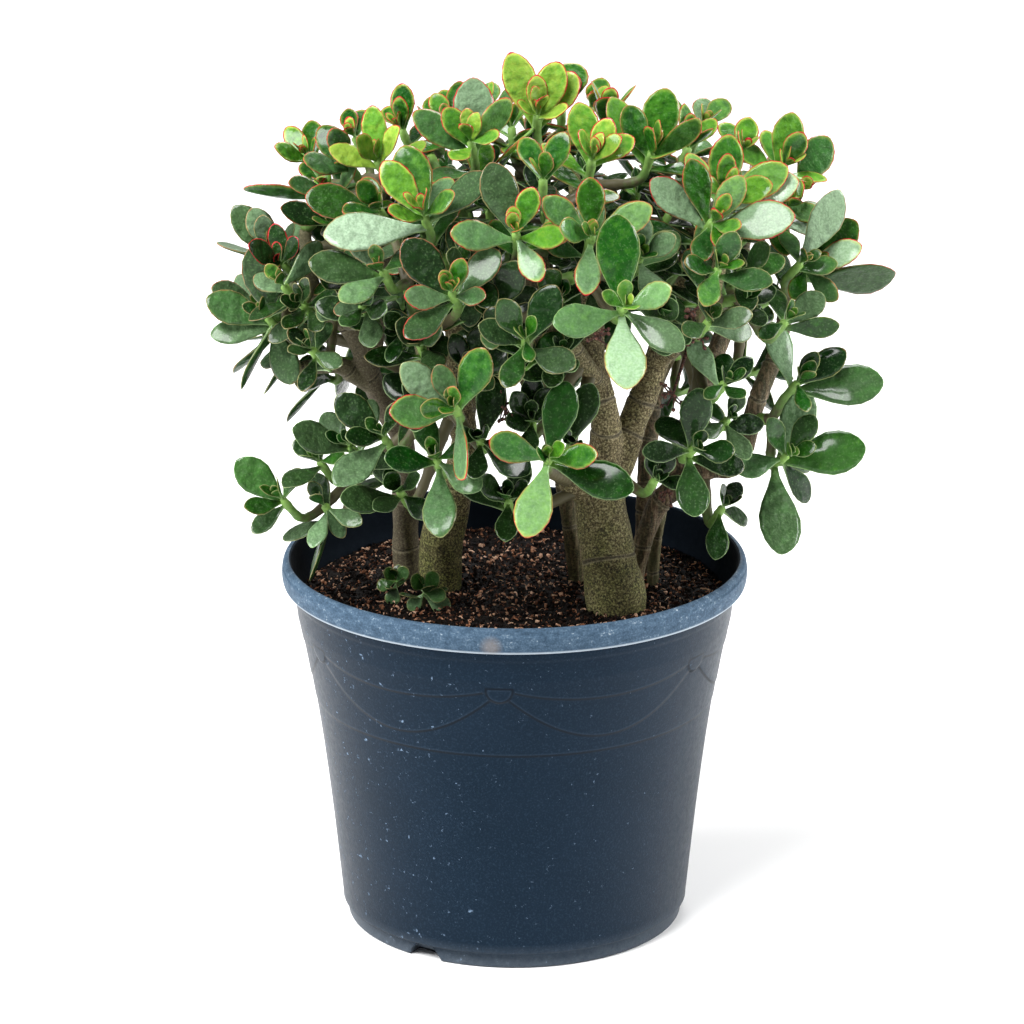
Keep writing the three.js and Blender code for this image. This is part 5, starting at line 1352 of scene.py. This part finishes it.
def seedling_bodies(foot, height, leaf, pairs, roll, tips):
    """A short stem with opposite pairs of leaves, each pair a quarter turn on and steeper, and
    the leaves that face the viewer."""
    base = seen(*foot)
    base[2] = SOIL_LEVEL - 12
    top = np.array([base[0], base[1], SOIL_LEVEL + height])
    leaves = []
    for pair in range(pairs):
        tilt = math.radians(74 - 20 * pair)
        heart = top - [0, 0, 1 + 4 * (pairs - 1 - pair)]
        for half in (0, math.pi):
            turn = roll + math.pi / 2 * pair + half
            way = np.array([math.cos(turn) * math.sin(tilt), math.sin(turn) * math.sin(tilt),
                            math.cos(tilt)])
            grown = leaf_from(heart, heart + way * leaf * (1 - 0.15 * pair),
                              np.array([0, 0, 1.0]), 0, (0.9, 0.4, 0.6))
            leaves.append({**grown, "sunk": 0.9, "tone": (0.85, 0.15, 0.1, 0.3 + 0.2 * pair)})
    for number, (x, y, reach) in enumerate(tips):
        node = top - [0, 1, 2 + number]
        grown = leaf_from(node, tip_at(x, y, node, reach, False),
                          unit(EYE - top) + [0, 0, 0.5], 0, (1, 0.5, 0.6))
        leaves.append({**grown, "sunk": 0.9, "width": grown["width"] * 1.2,
                       "tone": (0.65, 0.2 + 0.1 * number, 0.1, 0.15 * number)})
    path = base + (top - base) * np.linspace(0, 1, 6)[:, None]
    tone = np.tile([0.8, 0, 0, 0.5], (6, 1))
    stem = swept(path, np.linspace(1.6, 1.3, 6), 8, STEMS, edge=NO_RIM, top=0, ahead=0,
                 tone=tone)
    return [leaf_bodies(leaves), stem]


# Dried flower heads: where they show in the photograph, how far behind the dome and how wide.
REMAINS = [(673, 394, 45, 13), (697, 336, 30, 10), (694, 311, 35, 9), (598, 334, 30, 12),
           (669, 489, 55, 11), (506, 404, 60, 12)]
REMAINS_SEED = 61


def flower_remains(wood):
    """Each head is a stalk from the nearest wood that forks into thin bent twigs, with a dry
    capsule at the end of each."""
    random = np.random.default_rng(REMAINS_SEED)
    places = np.vstack([axis for limbs in wood for axis in limbs])
    bodies = []
    for x, y, behind, width in REMAINS:
        heart = on_crown(x, y, behind)
        root = places[np.argmin(np.linalg.norm(places[:, :3] - heart, axis=1))][:3]
        along = unit(heart - root)
        bodies.append(swept(bezier(root, root + (heart - root) * 0.3, heart - along * 6, heart, 6),
                            np.linspace(1.5, 1.0, 7), 7))
        for _ in range(9):
            way = unit(along + random.normal(size=3) * 0.75) * width * random.uniform(0.5, 1)
            bend = heart + way * 0.5 + random.normal(size=3) * width * 0.14
            bodies.append(swept(np.array([heart, bend, heart + way]),
                                np.array([0.9, 0.75, 0.5]), 5))
            pod = heart + way + unit(way) * np.array([[0], [1.3], [2.6], [3.4]])
            bodies.append(swept(pod, np.array([0.4, 1.6, 1.2, 0.3]), 6))
    return bodies


# ---- looks of the leaves -------------------------------------------------------------------------

TONE_SEED = 51


def leaf_tone(leaf, random):
    """A leaf's tone: how old it is, how much grey wax with painted sheen it carries, how red-rimmed
    it is, and a draw of its own. Shoots that the list leaves out are redder and younger towards the
    crown's top. The inner shoots' look makes them oldest and darkest, which is painted shade."""
    rosette = leaf["rosette"]
    height = (rosette["heart"][2] - CROWN_CENTRE[2]) / CROWN_RADII[2]
    look = rosette["look"] or (0.95 - 0.45 * max(height, 0), 0.25, 0.1 + 0.6 * max(height, 0))
    luck = [next(random) for _ in range(4)]
    if leaf.get("look"):
        return (*leaf["look"], luck[3])
    age = look[0] + 0.5 * (leaf["age"] - 0.75) + 0.3 * luck[0] + 0.12 - 0.4 * max(height, 0)
    # The grey wax share; where it is high, its pale tint is a painted sheen.
    bloom_and_sheen = look[1] * (0.1 + 1.5 * luck[1]) * min(leaf["age"] + 0.2, 1)
    blush = look[2] * (0.6 + 0.7 * luck[2])
    return tuple(np.clip([age, bloom_and_sheen, blush, luck[3]], 0, 1))


# ---- materials -----------------------------------------------------------------------------------


def colour(code):
    """An sRGB hex value as a linear RGBA colour."""
    value = np.array([int(code[i:i + 2], 16) for i in (1, 3, 5)]) / 255
    linear = np.where(value <= 0.04045, value / 12.92, ((value + 0.055) / 1.055) ** 2.4)
    return (*linear, 1)


def per_mm(size):
    """The scale of a noise whose features are this many millimetres wide."""
    return 1 / (size * MM)


def add_node(tree, kind, inputs=None, ramp=None, **settings):
    """Adds a node with its settings, and gives its inputs values, hex colours or links: a node
    stands for its first output in use. A ramp is a list of places and hex colours."""
    node = tree.nodes.new("ShaderNode" + kind)
    for key, value in settings.items():
        setattr(node, key, value)
    for key, value in (inputs or {}).items():
        if isinstance(value, bpy.types.Node):
            value = next(socket for socket in value.outputs if socket.enabled)
        if isinstance(value, bpy.types.NodeSocket):
            tree.links.new(value, node.inputs[key])
        else:
            node.inputs[key].default_value = colour(value) if isinstance(value, str) else value
    for number, (stop, shade) in enumerate(ramp or []):
        elements = node.color_ramp.elements
        element = elements[number] if number < 2 else elements.new(stop)
        element.position, element.color = stop, colour(shade)
    return node


def painted(recipe):
    """The material that a recipe describes and is named for. A recipe gets what adds a node to
    the material, and returns the inputs of its principled surface."""
    material = bpy.data.materials.new(recipe.__name__)
    material.use_nodes = True
    material.node_tree.nodes.clear()
    add = functools.partial(add_node, material.node_tree)
    add("OutputMaterial", {"Surface": add("BsdfPrincipled", recipe(add))})
    return material


def jade_leaf(add):
    """Jade leaf: a thick watery blade under a waxy skin. Young blades are yellow-green, old ones
    deep green; the upper face is mottled and carries a grey waxy film whose pale tint, where it is
    thick, is a painted sheen; a pale line along the blade's rim is a painted rim highlight, and in
    strong sun the rim turns red with yellow inside."""
    spot = add("TexCoord").outputs["Object"]
    tone = add("Attribute", attribute_name="tone")
    age, bloom_and_sheen, blush = add("SeparateColor", {0: tone}).outputs
    luck = tone.outputs["Alpha"]
    edge, top, ahead = (add("Attribute", attribute_name=key).outputs["Fac"]
                        for key in ("edge", "top", "ahead"))
    mottle, grain, dents = (
        add("TexNoise", {"Vector": spot, "Scale": per_mm(size), "Detail": detail,
                         "Roughness": rough})
        for size, detail, rough in ((6, 4, 0.6), (1.6, 3, 0.5), (9, 1, 0.5)))

    ripe = add("Math", {0: mottle, 1: 0.6, 2: age}, operation="MULTIPLY_ADD")
    ripe = add("Math", {0: ripe, 1: 0.3}, operation="SUBTRACT")
    tint = add("HueSaturation", {
        "Hue": add("MapRange", {0: luck, 3: 0.485, 4: 0.512}),
        "Value": add("MapRange", {0: luck, 3: 1.25, 4: 0.75}),
        "Color": add("ValToRGB", {0: ripe}, ramp=[
            (0, "#86a63c"), (1, "#051e02"), (0.25, "#4f8a24"), (0.5, "#1a540a"),
            (0.75, "#0b3204")])})
    below = add("MapRange", {0: top, 1: -0.5, 2: 0.1, 3: 0.5, 4: 0})
    neck = add("MapRange", {0: ahead, 1: 0, 2: 0.22, 3: 0.6, 4: 0})
    upper = add("MapRange", {0: top, 1: 0, 2: 0.5})
    specks = add("MapRange", {0: grain, 1: 0.56, 2: 0.74, 3: 0, 4: 0.2})
    specks = add("Math", {0: specks, 1: upper}, operation="MULTIPLY")
    # Grey wax over the upper face; where its share is high the pale tint is a painted sheen.
    haze = add("MapRange", {0: grain, 1: 0.36, 2: 0.62, 3: 0.68, 4: 0.95})
    bloom_sheen_share = add("Math", {0: bloom_and_sheen, 1: 1.6}, operation="POWER")
    bloom_sheen_cover = add("Math", {0: haze, 1: bloom_sheen_share}, operation="MULTIPLY")
    bloom_sheen_cover = add("Math", {0: bloom_sheen_cover, 1: upper}, operation="MULTIPLY")
    bloom_sheen_tint = add("Mix", {0: bloom_sheen_share, 6: "#7da668", 7: "#b2ccae"}, data_type="RGBA")
    # A painted rim highlight: a pale line along every blade's rim.
    pale = add("MapRange", {0: edge, 1: 0.1, 2: 0.8, 3: 0.55, 4: 0})
    for share, shade in ((below, "#2f5826"), (neck, "#6f9c3f"), (specks, "#86b070"),
                         (bloom_sheen_cover, bloom_sheen_tint), (pale, "#a9c888")):
        tint = add("Mix", {0: share, 6: tint, 7: shade}, data_type="RGBA")

    reach = add("MapRange", {0: ahead, 1: 0.25, 2: 0.8})
    sun = add("Math", {0: blush, 1: reach}, operation="MULTIPLY")
    wander = add("Math", {0: mottle, 1: 2, 2: -1}, operation="MULTIPLY_ADD")
    rim = add("Math", {0: edge, 1: wander}, operation="ADD")
    fresh = add("MapRange", {0: age, 1: 0.3, 2: 0.8, 3: 1, 4: 0})
    fresh = add("Math", {0: fresh, 1: sun}, operation="MULTIPLY")
    for near, far, share, where, shade in ((0.6, 2.6, 0.9, fresh, "#c6cf5c"),
                                           (0.3, 0.95, 1.8, sun, "#b3202c")):
        mask = add("MapRange", {0: rim, 1: near, 2: far, 3: share, 4: 0})
        mask = add("Math", {0: mask, 1: where}, operation="MULTIPLY", use_clamp=True)
        tint = add("Mix", {0: mask, 6: tint, 7: shade}, data_type="RGBA")

    dull = add("MapRange", {0: bloom_and_sheen, 1: 0, 2: 0.8, 3: 0.2, 4: 0.42})
    dull = add("Math", {0: grain, 1: 0.2, 2: dull}, operation="MULTIPLY_ADD")
    waves = add("Math", {0: dents, 1: 7, 2: grain}, operation="MULTIPLY_ADD")
    bump = add("Bump", {"Height": waves, "Strength": 0.8, "Distance": 0.0009})
    return {"Base Color": tint, "Roughness": dull, "Normal": bump, "IOR": 1.45,
            "Specular IOR Level": 0.06, "Coat Weight": 0.4, "Coat Roughness": 0.12}


def green_stem(add):
    """Young jade stem: smooth green skin that turns grey-brown and dull as it ages."""
    spot = add("TexCoord").outputs["Object"]
    age = add("SeparateColor", {0: add("Attribute", attribute_name="tone")})
    streaks = add("TexNoise", {"Vector": spot, "Scale": per_mm(4), "Detail": 4})
    ripe = add("Math", {0: streaks, 1: 0.6, 2: age}, operation="MULTIPLY_ADD")
    tint = add("ValToRGB", {0: ripe}, ramp=[
        (0.25, "#7da44d"), (0.8125, "#575239"), (0.55, "#587a38")])
    bump = add("Bump", {"Height": streaks, "Strength": 0.4, "Distance": 0.001})
    return {"Base Color": tint, "Normal": bump, "IOR": 1.42, "Roughness": 0.55}


def jade_bark(add):
    """Jade bark: thin cork, finely speckled with tan and dark brown, with dark leaf scars that
    ring the limb. Its cast says how mossy, how brown and how grey each trunk is: brown bark has
    lengthwise cracks, and moss is an olive film, thickest at the soil."""
    spot = add("TexCoord").outputs["Object"]
    scar, girth = (add("Attribute", attribute_name=key).outputs["Fac"]
                   for key in ("scar", "girth"))
    cast = add("Attribute", attribute_name="cast")
    mossy, brown, grey = add("SeparateColor", {0: cast}).outputs
    long = add("Mapping", {"Vector": spot, "Scale": (1, 1, 0.16)})
    cracks, blotch, fleck = (
        add("TexNoise", {"Vector": where, "Scale": per_mm(size), "Detail": detail,
                         "Roughness": rough})
        for where, size, detail, rough in ((long, 2.4, 5, 0.6), (spot, 13, 4, 0.5),
                                           (spot, 1.5, 4, 0.7)))

    cork = add("ValToRGB", {0: fleck}, ramp=[
        (0.38, "#2b2414"), (0.64, "#b9ad84"), (0.47, "#5d5235"), (0.55, "#857955")])
    split = add("ValToRGB", {0: cracks}, ramp=[
        (0.4, "#120a06"), (0.64, "#8f7760"), (0.48, "#38271c"), (0.55, "#5f4838")])
    ash = add("Mix", {0: fleck, 6: "#2b251b", 7: "#7b7160"}, data_type="RGBA")
    algae = add("ValToRGB", {0: fleck}, ramp=[
        (0.4, "#20220a"), (0.63, "#8c8f49"), (0.51, "#4f5222")])
    height = add("SeparateXYZ", {0: spot}).outputs[2]
    damp = add("MapRange", {0: height, 1: 0.24, 2: 0.36, 3: 0.62, 4: 0.18})
    film = add("Math", {0: blotch, 1: 0.9, 2: damp}, operation="MULTIPLY_ADD")
    film = add("MapRange", {0: film, 1: 0.55, 2: 1.1, 3: 0, 4: 0.9})
    moss = add("Math", {0: film, 1: mossy}, operation="MULTIPLY")
    young = add("MapRange", {0: girth, 1: 4.5, 2: 8, 3: 0.5, 4: 0})
    tint = cork
    for share, shade in ((brown, split), (grey, ash), (moss, algae), (young, "#565b36")):
        tint = add("Mix", {0: share, 6: tint, 7: shade}, data_type="RGBA")

    broken = add("MapRange", {0: fleck, 1: 0.4, 2: 0.52, 3: 0.35, 4: 1})
    for near, far, share, shade in ((1.1, 2.3, 0.55, "#b3a886"), (0.6, 1.6, 0.9, "#120b06")):
        line = add("MapRange", {0: scar, 1: near, 2: far, 3: share, 4: 0})
        line = add("Math", {0: line, 1: broken}, operation="MULTIPLY")
        tint = add("Mix", {0: line, 6: tint, 7: shade}, data_type="RGBA")
    furrow = add("Math", {0: cracks, 1: brown}, operation="MULTIPLY")
    rise = add("Math", {0: furrow, 1: 2.5, 2: fleck}, operation="MULTIPLY_ADD")
    bump = add("Bump", {"Height": rise, "Strength": 0.6, "Distance": 0.0013})
    return {"Base Color": tint, "Normal": bump, "IOR": 1.45, "Roughness": 0.78}


def dried_stalk(add):
    """Dried flower stalks: brittle red-brown, paler on their ridges."""
    spot = add("TexCoord").outputs["Object"]
    grain = add("TexNoise", {"Vector": spot, "Scale": per_mm(1.5), "Detail": 4})
    tint = add("ValToRGB", {0: grain}, ramp=[(0.4, "#1c0d08"), (0.65, "#6b4335")])
    return {"Base Color": tint, "Roughness": 0.85}


def recycled_polypropylene(add):
    """Blow-moulded recycled polypropylene: a blue-black skin with a satin sheen. Each moulded
    line of the festoons is darkened by a painted shadow, with a painted highlight on the edge
    above it; lime flecks the wall, and wear has turned the outside of the rim a chalky blue with
    pale scuffs, with a painted highlight along its lower edge. Painted shade darkens the inside
    nearly to black."""
    spot = add("TexCoord").outputs["Object"]
    x, _, height = add("SeparateXYZ", {0: spot}).outputs
    level = add("Mapping", {"Vector": spot, "Scale": (1, 1, 0)})
    radius = add("VectorMath", {0: level}, operation="LENGTH")
    flat = add("Mapping", {"Vector": spot, "Scale": (1, 1, 2.2)})
    cloud, scuff, rubbed, grit = (
        add("TexNoise", {"Vector": where, "Scale": per_mm(size), "Detail": detail,
                         "Roughness": rough})
        for where, size, detail, rough in ((spot, 50, 5, 0.5), (spot, 5, 8, 0.72),
                                           (flat, 9, 9, 0.78), (spot, 1.4, 3, 0.5)))

    leftward = add("MapRange", {0: x, 1: -0.12, 2: 0.1, 3: 0, 4: 0.05})
    speck = add("Math", {0: scuff, 1: leftward}, operation="SUBTRACT")
    lime = add("MapRange", {0: speck, 1: 0.61, 2: 0.68, 3: 0, 4: 0.75})
    haze = add("MapRange", {0: grit, 1: 0.5, 2: 0.8, 3: 0, 4: 0.18})
    body = "#05111b"
    for share, shade in ((cloud, "#0c1a27"), (lime, "#7f97b2"), (haze, "#40556a")):
        body = add("Mix", {0: share, 6: body, 7: shade}, data_type="RGBA")
    festoon = add("Attribute", attribute_name="festoon")
    # Each moulded line gets a painted shadow in it and a painted highlight on the edge just above.
    for gap in (*add("SeparateColor", {0: festoon}).outputs, festoon.outputs["Alpha"]):
        ridge_highlight = add("MapRange", {0: gap, 1: 2.4, 2: 0.9, 3: 0, 4: 0.06})
        above = add("MapRange", {0: gap, 1: 0.2, 2: 0.7})
        ridge_highlight = add("Math", {0: ridge_highlight, 1: above}, operation="MULTIPLY")
        aside = add("Math", {0: gap}, operation="ABSOLUTE")
        groove = add("MapRange", {0: aside, 1: 0.5, 2: 1.3, 3: 0.9, 4: 0})
        for share, shade in ((ridge_highlight, "#6a8099"), (groove, "#05070a")):
            body = add("Mix", {0: share, 6: body, 7: shade}, data_type="RGBA")

    outside = add("MapRange", {0: radius, 1: 0.1632, 2: 0.1646})
    on_rim = add("MapRange", {0: height, 1: 0.2555, 2: 0.2562})
    on_rim = add("Math", {0: on_rim, 1: outside}, operation="MULTIPLY")
    mixed = add("Math", {0: grit, 1: 0.5, 2: rubbed}, operation="MULTIPLY_ADD")
    rim_wear_and_highlight = add("ValToRGB", {0: mixed}, ramp=[
        (0.5, "#24323f"), (1.02, "#b6c0c8"), (0.74, "#3c4f61"), (0.88, "#506374")])
    # A painted highlight: a bright line along the rim's lower edge.
    lower_edge_highlight = add("MapRange", {0: height, 1: 0.2572, 2: 0.2584, 3: 0.6, 4: 0})
    away = add("VectorMath", {0: spot, 1: (-0.0165, -0.169, 0.262)}, operation="DISTANCE")
    smear = add("MapRange", {0: away, 1: 0.003, 2: 0.009, 3: 0.4, 4: 0})
    for share, shade in ((lower_edge_highlight, "#c3cdd6"), (smear, "#93867a")):
        rim_wear_and_highlight = add("Mix", {0: share, 6: rim_wear_and_highlight, 7: shade}, data_type="RGBA")
    # Surfaces that face inward are mixed nearly to black: painted shade inside the pot.
    facing = add("NewGeometry").outputs["Normal"]
    inward = add("VectorMath", {0: facing, 1: level}, operation="DOT_PRODUCT")
    inner = add("MapRange", {0: inward, 1: -0.05, 2: -0.1, 3: 0, 4: 0.95})
    low = add("MapRange", {0: height, 1: 0, 2: 0.02, 3: 0.7, 4: 0})
    dust = add("Math", {0: low, 1: scuff}, operation="MULTIPLY")
    for share, shade in ((on_rim, rim_wear_and_highlight), (inner, "#010203"), (dust, "#6c747c")):
        body = add("Mix", {0: share, 6: body, 7: shade}, data_type="RGBA")

    dull = add("MapRange", {0: scuff, 1: 0.3, 2: 0.75, 3: 0.34, 4: 0.52})
    for share, more in ((on_rim, 0.2), (inner, 0.4)):
        dull = add("Math", {0: share, 1: more, 2: dull}, operation="MULTIPLY_ADD")
    bump = add("Bump", {"Height": grit, "Strength": 0.15, "Distance": 0.0006})
    return {"Base Color": body, "Roughness": dull, "Normal": bump, "IOR": 1.49,
            "Specular IOR Level": 0.23, "Specular Tint": "#98bce4"}


def coir_compost(add):
    """Coir and bark compost: dark damp crumbs, some rust-red, with pale fibres. Each crumb
    carries a draw of its own for its colour."""
    spot = add("TexCoord").outputs["Object"]
    draw = add("SeparateColor", {0: add("Attribute", attribute_name="shade")})
    crumb = add("TexNoise", {"Vector": spot, "Scale": per_mm(2), "Detail": 5})
    pick = add("Math", {0: crumb, 1: 0.3, 2: draw}, operation="MULTIPLY_ADD")
    pick = add("Math", {0: pick, 1: 0.15}, operation="SUBTRACT")
    tint = add("ValToRGB", {0: pick}, ramp=[
        (0, "#050201"), (1, "#e2b99c"), (0.56, "#120904"), (0.75, "#341c12"),
        (0.87, "#9c694c")])
    bump = add("Bump", {"Height": crumb, "Strength": 1, "Distance": 0.003})
    return {"Base Color": tint, "Normal": bump, "IOR": 1.45, "Roughness": 0.8,
            "Specular IOR Level": 0.2}


def studio_floor(add):
    """A matt white studio floor."""
    return {"Base Color": "#f6f6f6", "Roughness": 0.9, "Specular IOR Level": 0.1}


# ---- stage ---------------------------------------------------------------------------------------

# The world's strength, the sun's strength, breadth in degrees and way, and the floor's half side.
LIGHT = dict(world=0.25, sun=4.3, breadth=28, way=(0.42, 0.55, -1), floor=9000)

# Lamps: name, place, what they face, breadth and power in watts.
LAMPS = [
    ("left_lamp", (-2200, -300, 1200), (0, 0, 300), 1100, 50),
    ("right_lamp", (2200, 100, 1200), (0, 0, 300), 1100, 60),
    ("back_lamp", (300, 1900, 1700), (0, 0, 400), 1000, 25),
]


def aimed(name, data, way=(0, 0, -1)):
    """An object of the stage, turned so that it faces the given way."""
    thing = bpy.data.objects.new(name, data)
    thing.rotation_euler = Vector(way).to_track_quat("-Z", "Y").to_euler()
    bpy.context.scene.collection.objects.link(thing)
    return thing


def set_stage():
    """The floor, the world's even light, a broad sun, the lamps and the photograph's camera."""
    scene = bpy.context.scene
    scene.view_settings.view_transform = "Standard"
    corners = LIGHT["floor"] * np.array([(-1, -1, 0), (1, -1, 0), (1, 1, 0), (-1, 1, 0)])
    floor = bpy.data.objects.new("floor", new_mesh("floor", [part(corners, [[0, 1, 2, 3]])],
                                                   [painted(studio_floor)]))
    scene.collection.objects.link(floor)
    scene.world = bpy.data.worlds.new("studio")
    scene.world.use_nodes = True
    background = scene.world.node_tree.nodes["Background"]
    background.inputs["Color"].default_value = (1, 1, 1, 1)
    background.inputs["Strength"].default_value = LIGHT["world"]
    sun = bpy.data.lights.new("window", "SUN")
    sun.energy, sun.angle = LIGHT["sun"], math.radians(LIGHT["breadth"])
    aimed("window", sun, LIGHT["way"])
    for name, spot, aim, size, power in LAMPS:
        light = bpy.data.lights.new(name, "AREA")
        light.shape, light.size, light.energy = "DISK", size * MM, power
        aimed(name, light, np.subtract(aim, spot)).location = np.array(spot) * MM
    lens = bpy.data.cameras.new("camera")
    lens.sensor_width, lens.lens, lens.clip_end = 36, FOCAL / (2 * MIDDLE) * 36, 100
    scene.camera = aimed("camera", lens)
    scene.camera.location = EYE * MM
    scene.camera.rotation_euler = (math.pi / 2 - PITCH, 0, 0)


# ---- the whole -----------------------------------------------------------------------------------

set_stage()
leaf_skins = [painted(jade_leaf), painted(green_stem)]
bark_skin, soil_skin = painted(jade_bark), painted(coir_compost)

place("pot_shell", pot_mesh(painted(recycled_polypropylene)), "pot_plastic", "pot")

scatter = np.random.default_rng(SOIL["seed"])
place("soil_bed", new_mesh("soil_bed", [soil_bed()], [soil_skin]), "compost", "soil")
place("soil_crumbs", new_mesh("soil_crumbs", [crumbs(SOIL["crumbs"], scatter)], [soil_skin]),
      "compost")
place("soil_fibres", new_mesh("soil_fibres", fibres(SOIL["fibres"], scatter), [soil_skin]),
      "compost")

bark_draws = draws(BARK["seed"])
for trunk, limbs in LIMBS.items():
    mesh = trunk_mesh(trunk, limbs, bark_draws)
    mesh.materials.append(bark_skin)
    place(f"{trunk}_bark", mesh, "bark", trunk)

for name, sprout in SEEDLINGS.items():
    place(f"{name}_leaves", new_mesh(name, seedling_bodies(*sprout), leaf_skins), "jade_leaf", name)

thicket, wood, rosettes, sprays = grow_plant()
shoots = dress_plant(thicket, wood, rosettes, sprays)
tone_draws = draws(TONE_SEED)
for spray in sprays + shoots:
    for leaf in spray["leaves"]:
        leaf["tone"] = leaf_tone(leaf, tone_draws)
for number, spray in enumerate(sprays, 1):
    bodies = [leaf_bodies(spray["leaves"]), *stem_bodies(spray, tone_draws)]
    name = f"leafy_spray_{number:02d}"
    place(f"{name}_leaves", new_mesh(name, bodies, leaf_skins), "jade_leaf", name)
bodies = [leaf_bodies([leaf for shoot in shoots for leaf in shoot["leaves"]])]
bodies += [body for shoot in shoots if shoot["leaves"] for body in stem_bodies(shoot, tone_draws)]
place("inner_shoots", new_mesh("inner_shoots", bodies, leaf_skins), "jade_leaf")
place("flower_remains", new_mesh("flower_remains", flower_remains(wood), [painted(dried_stalk)]),
      "bark")
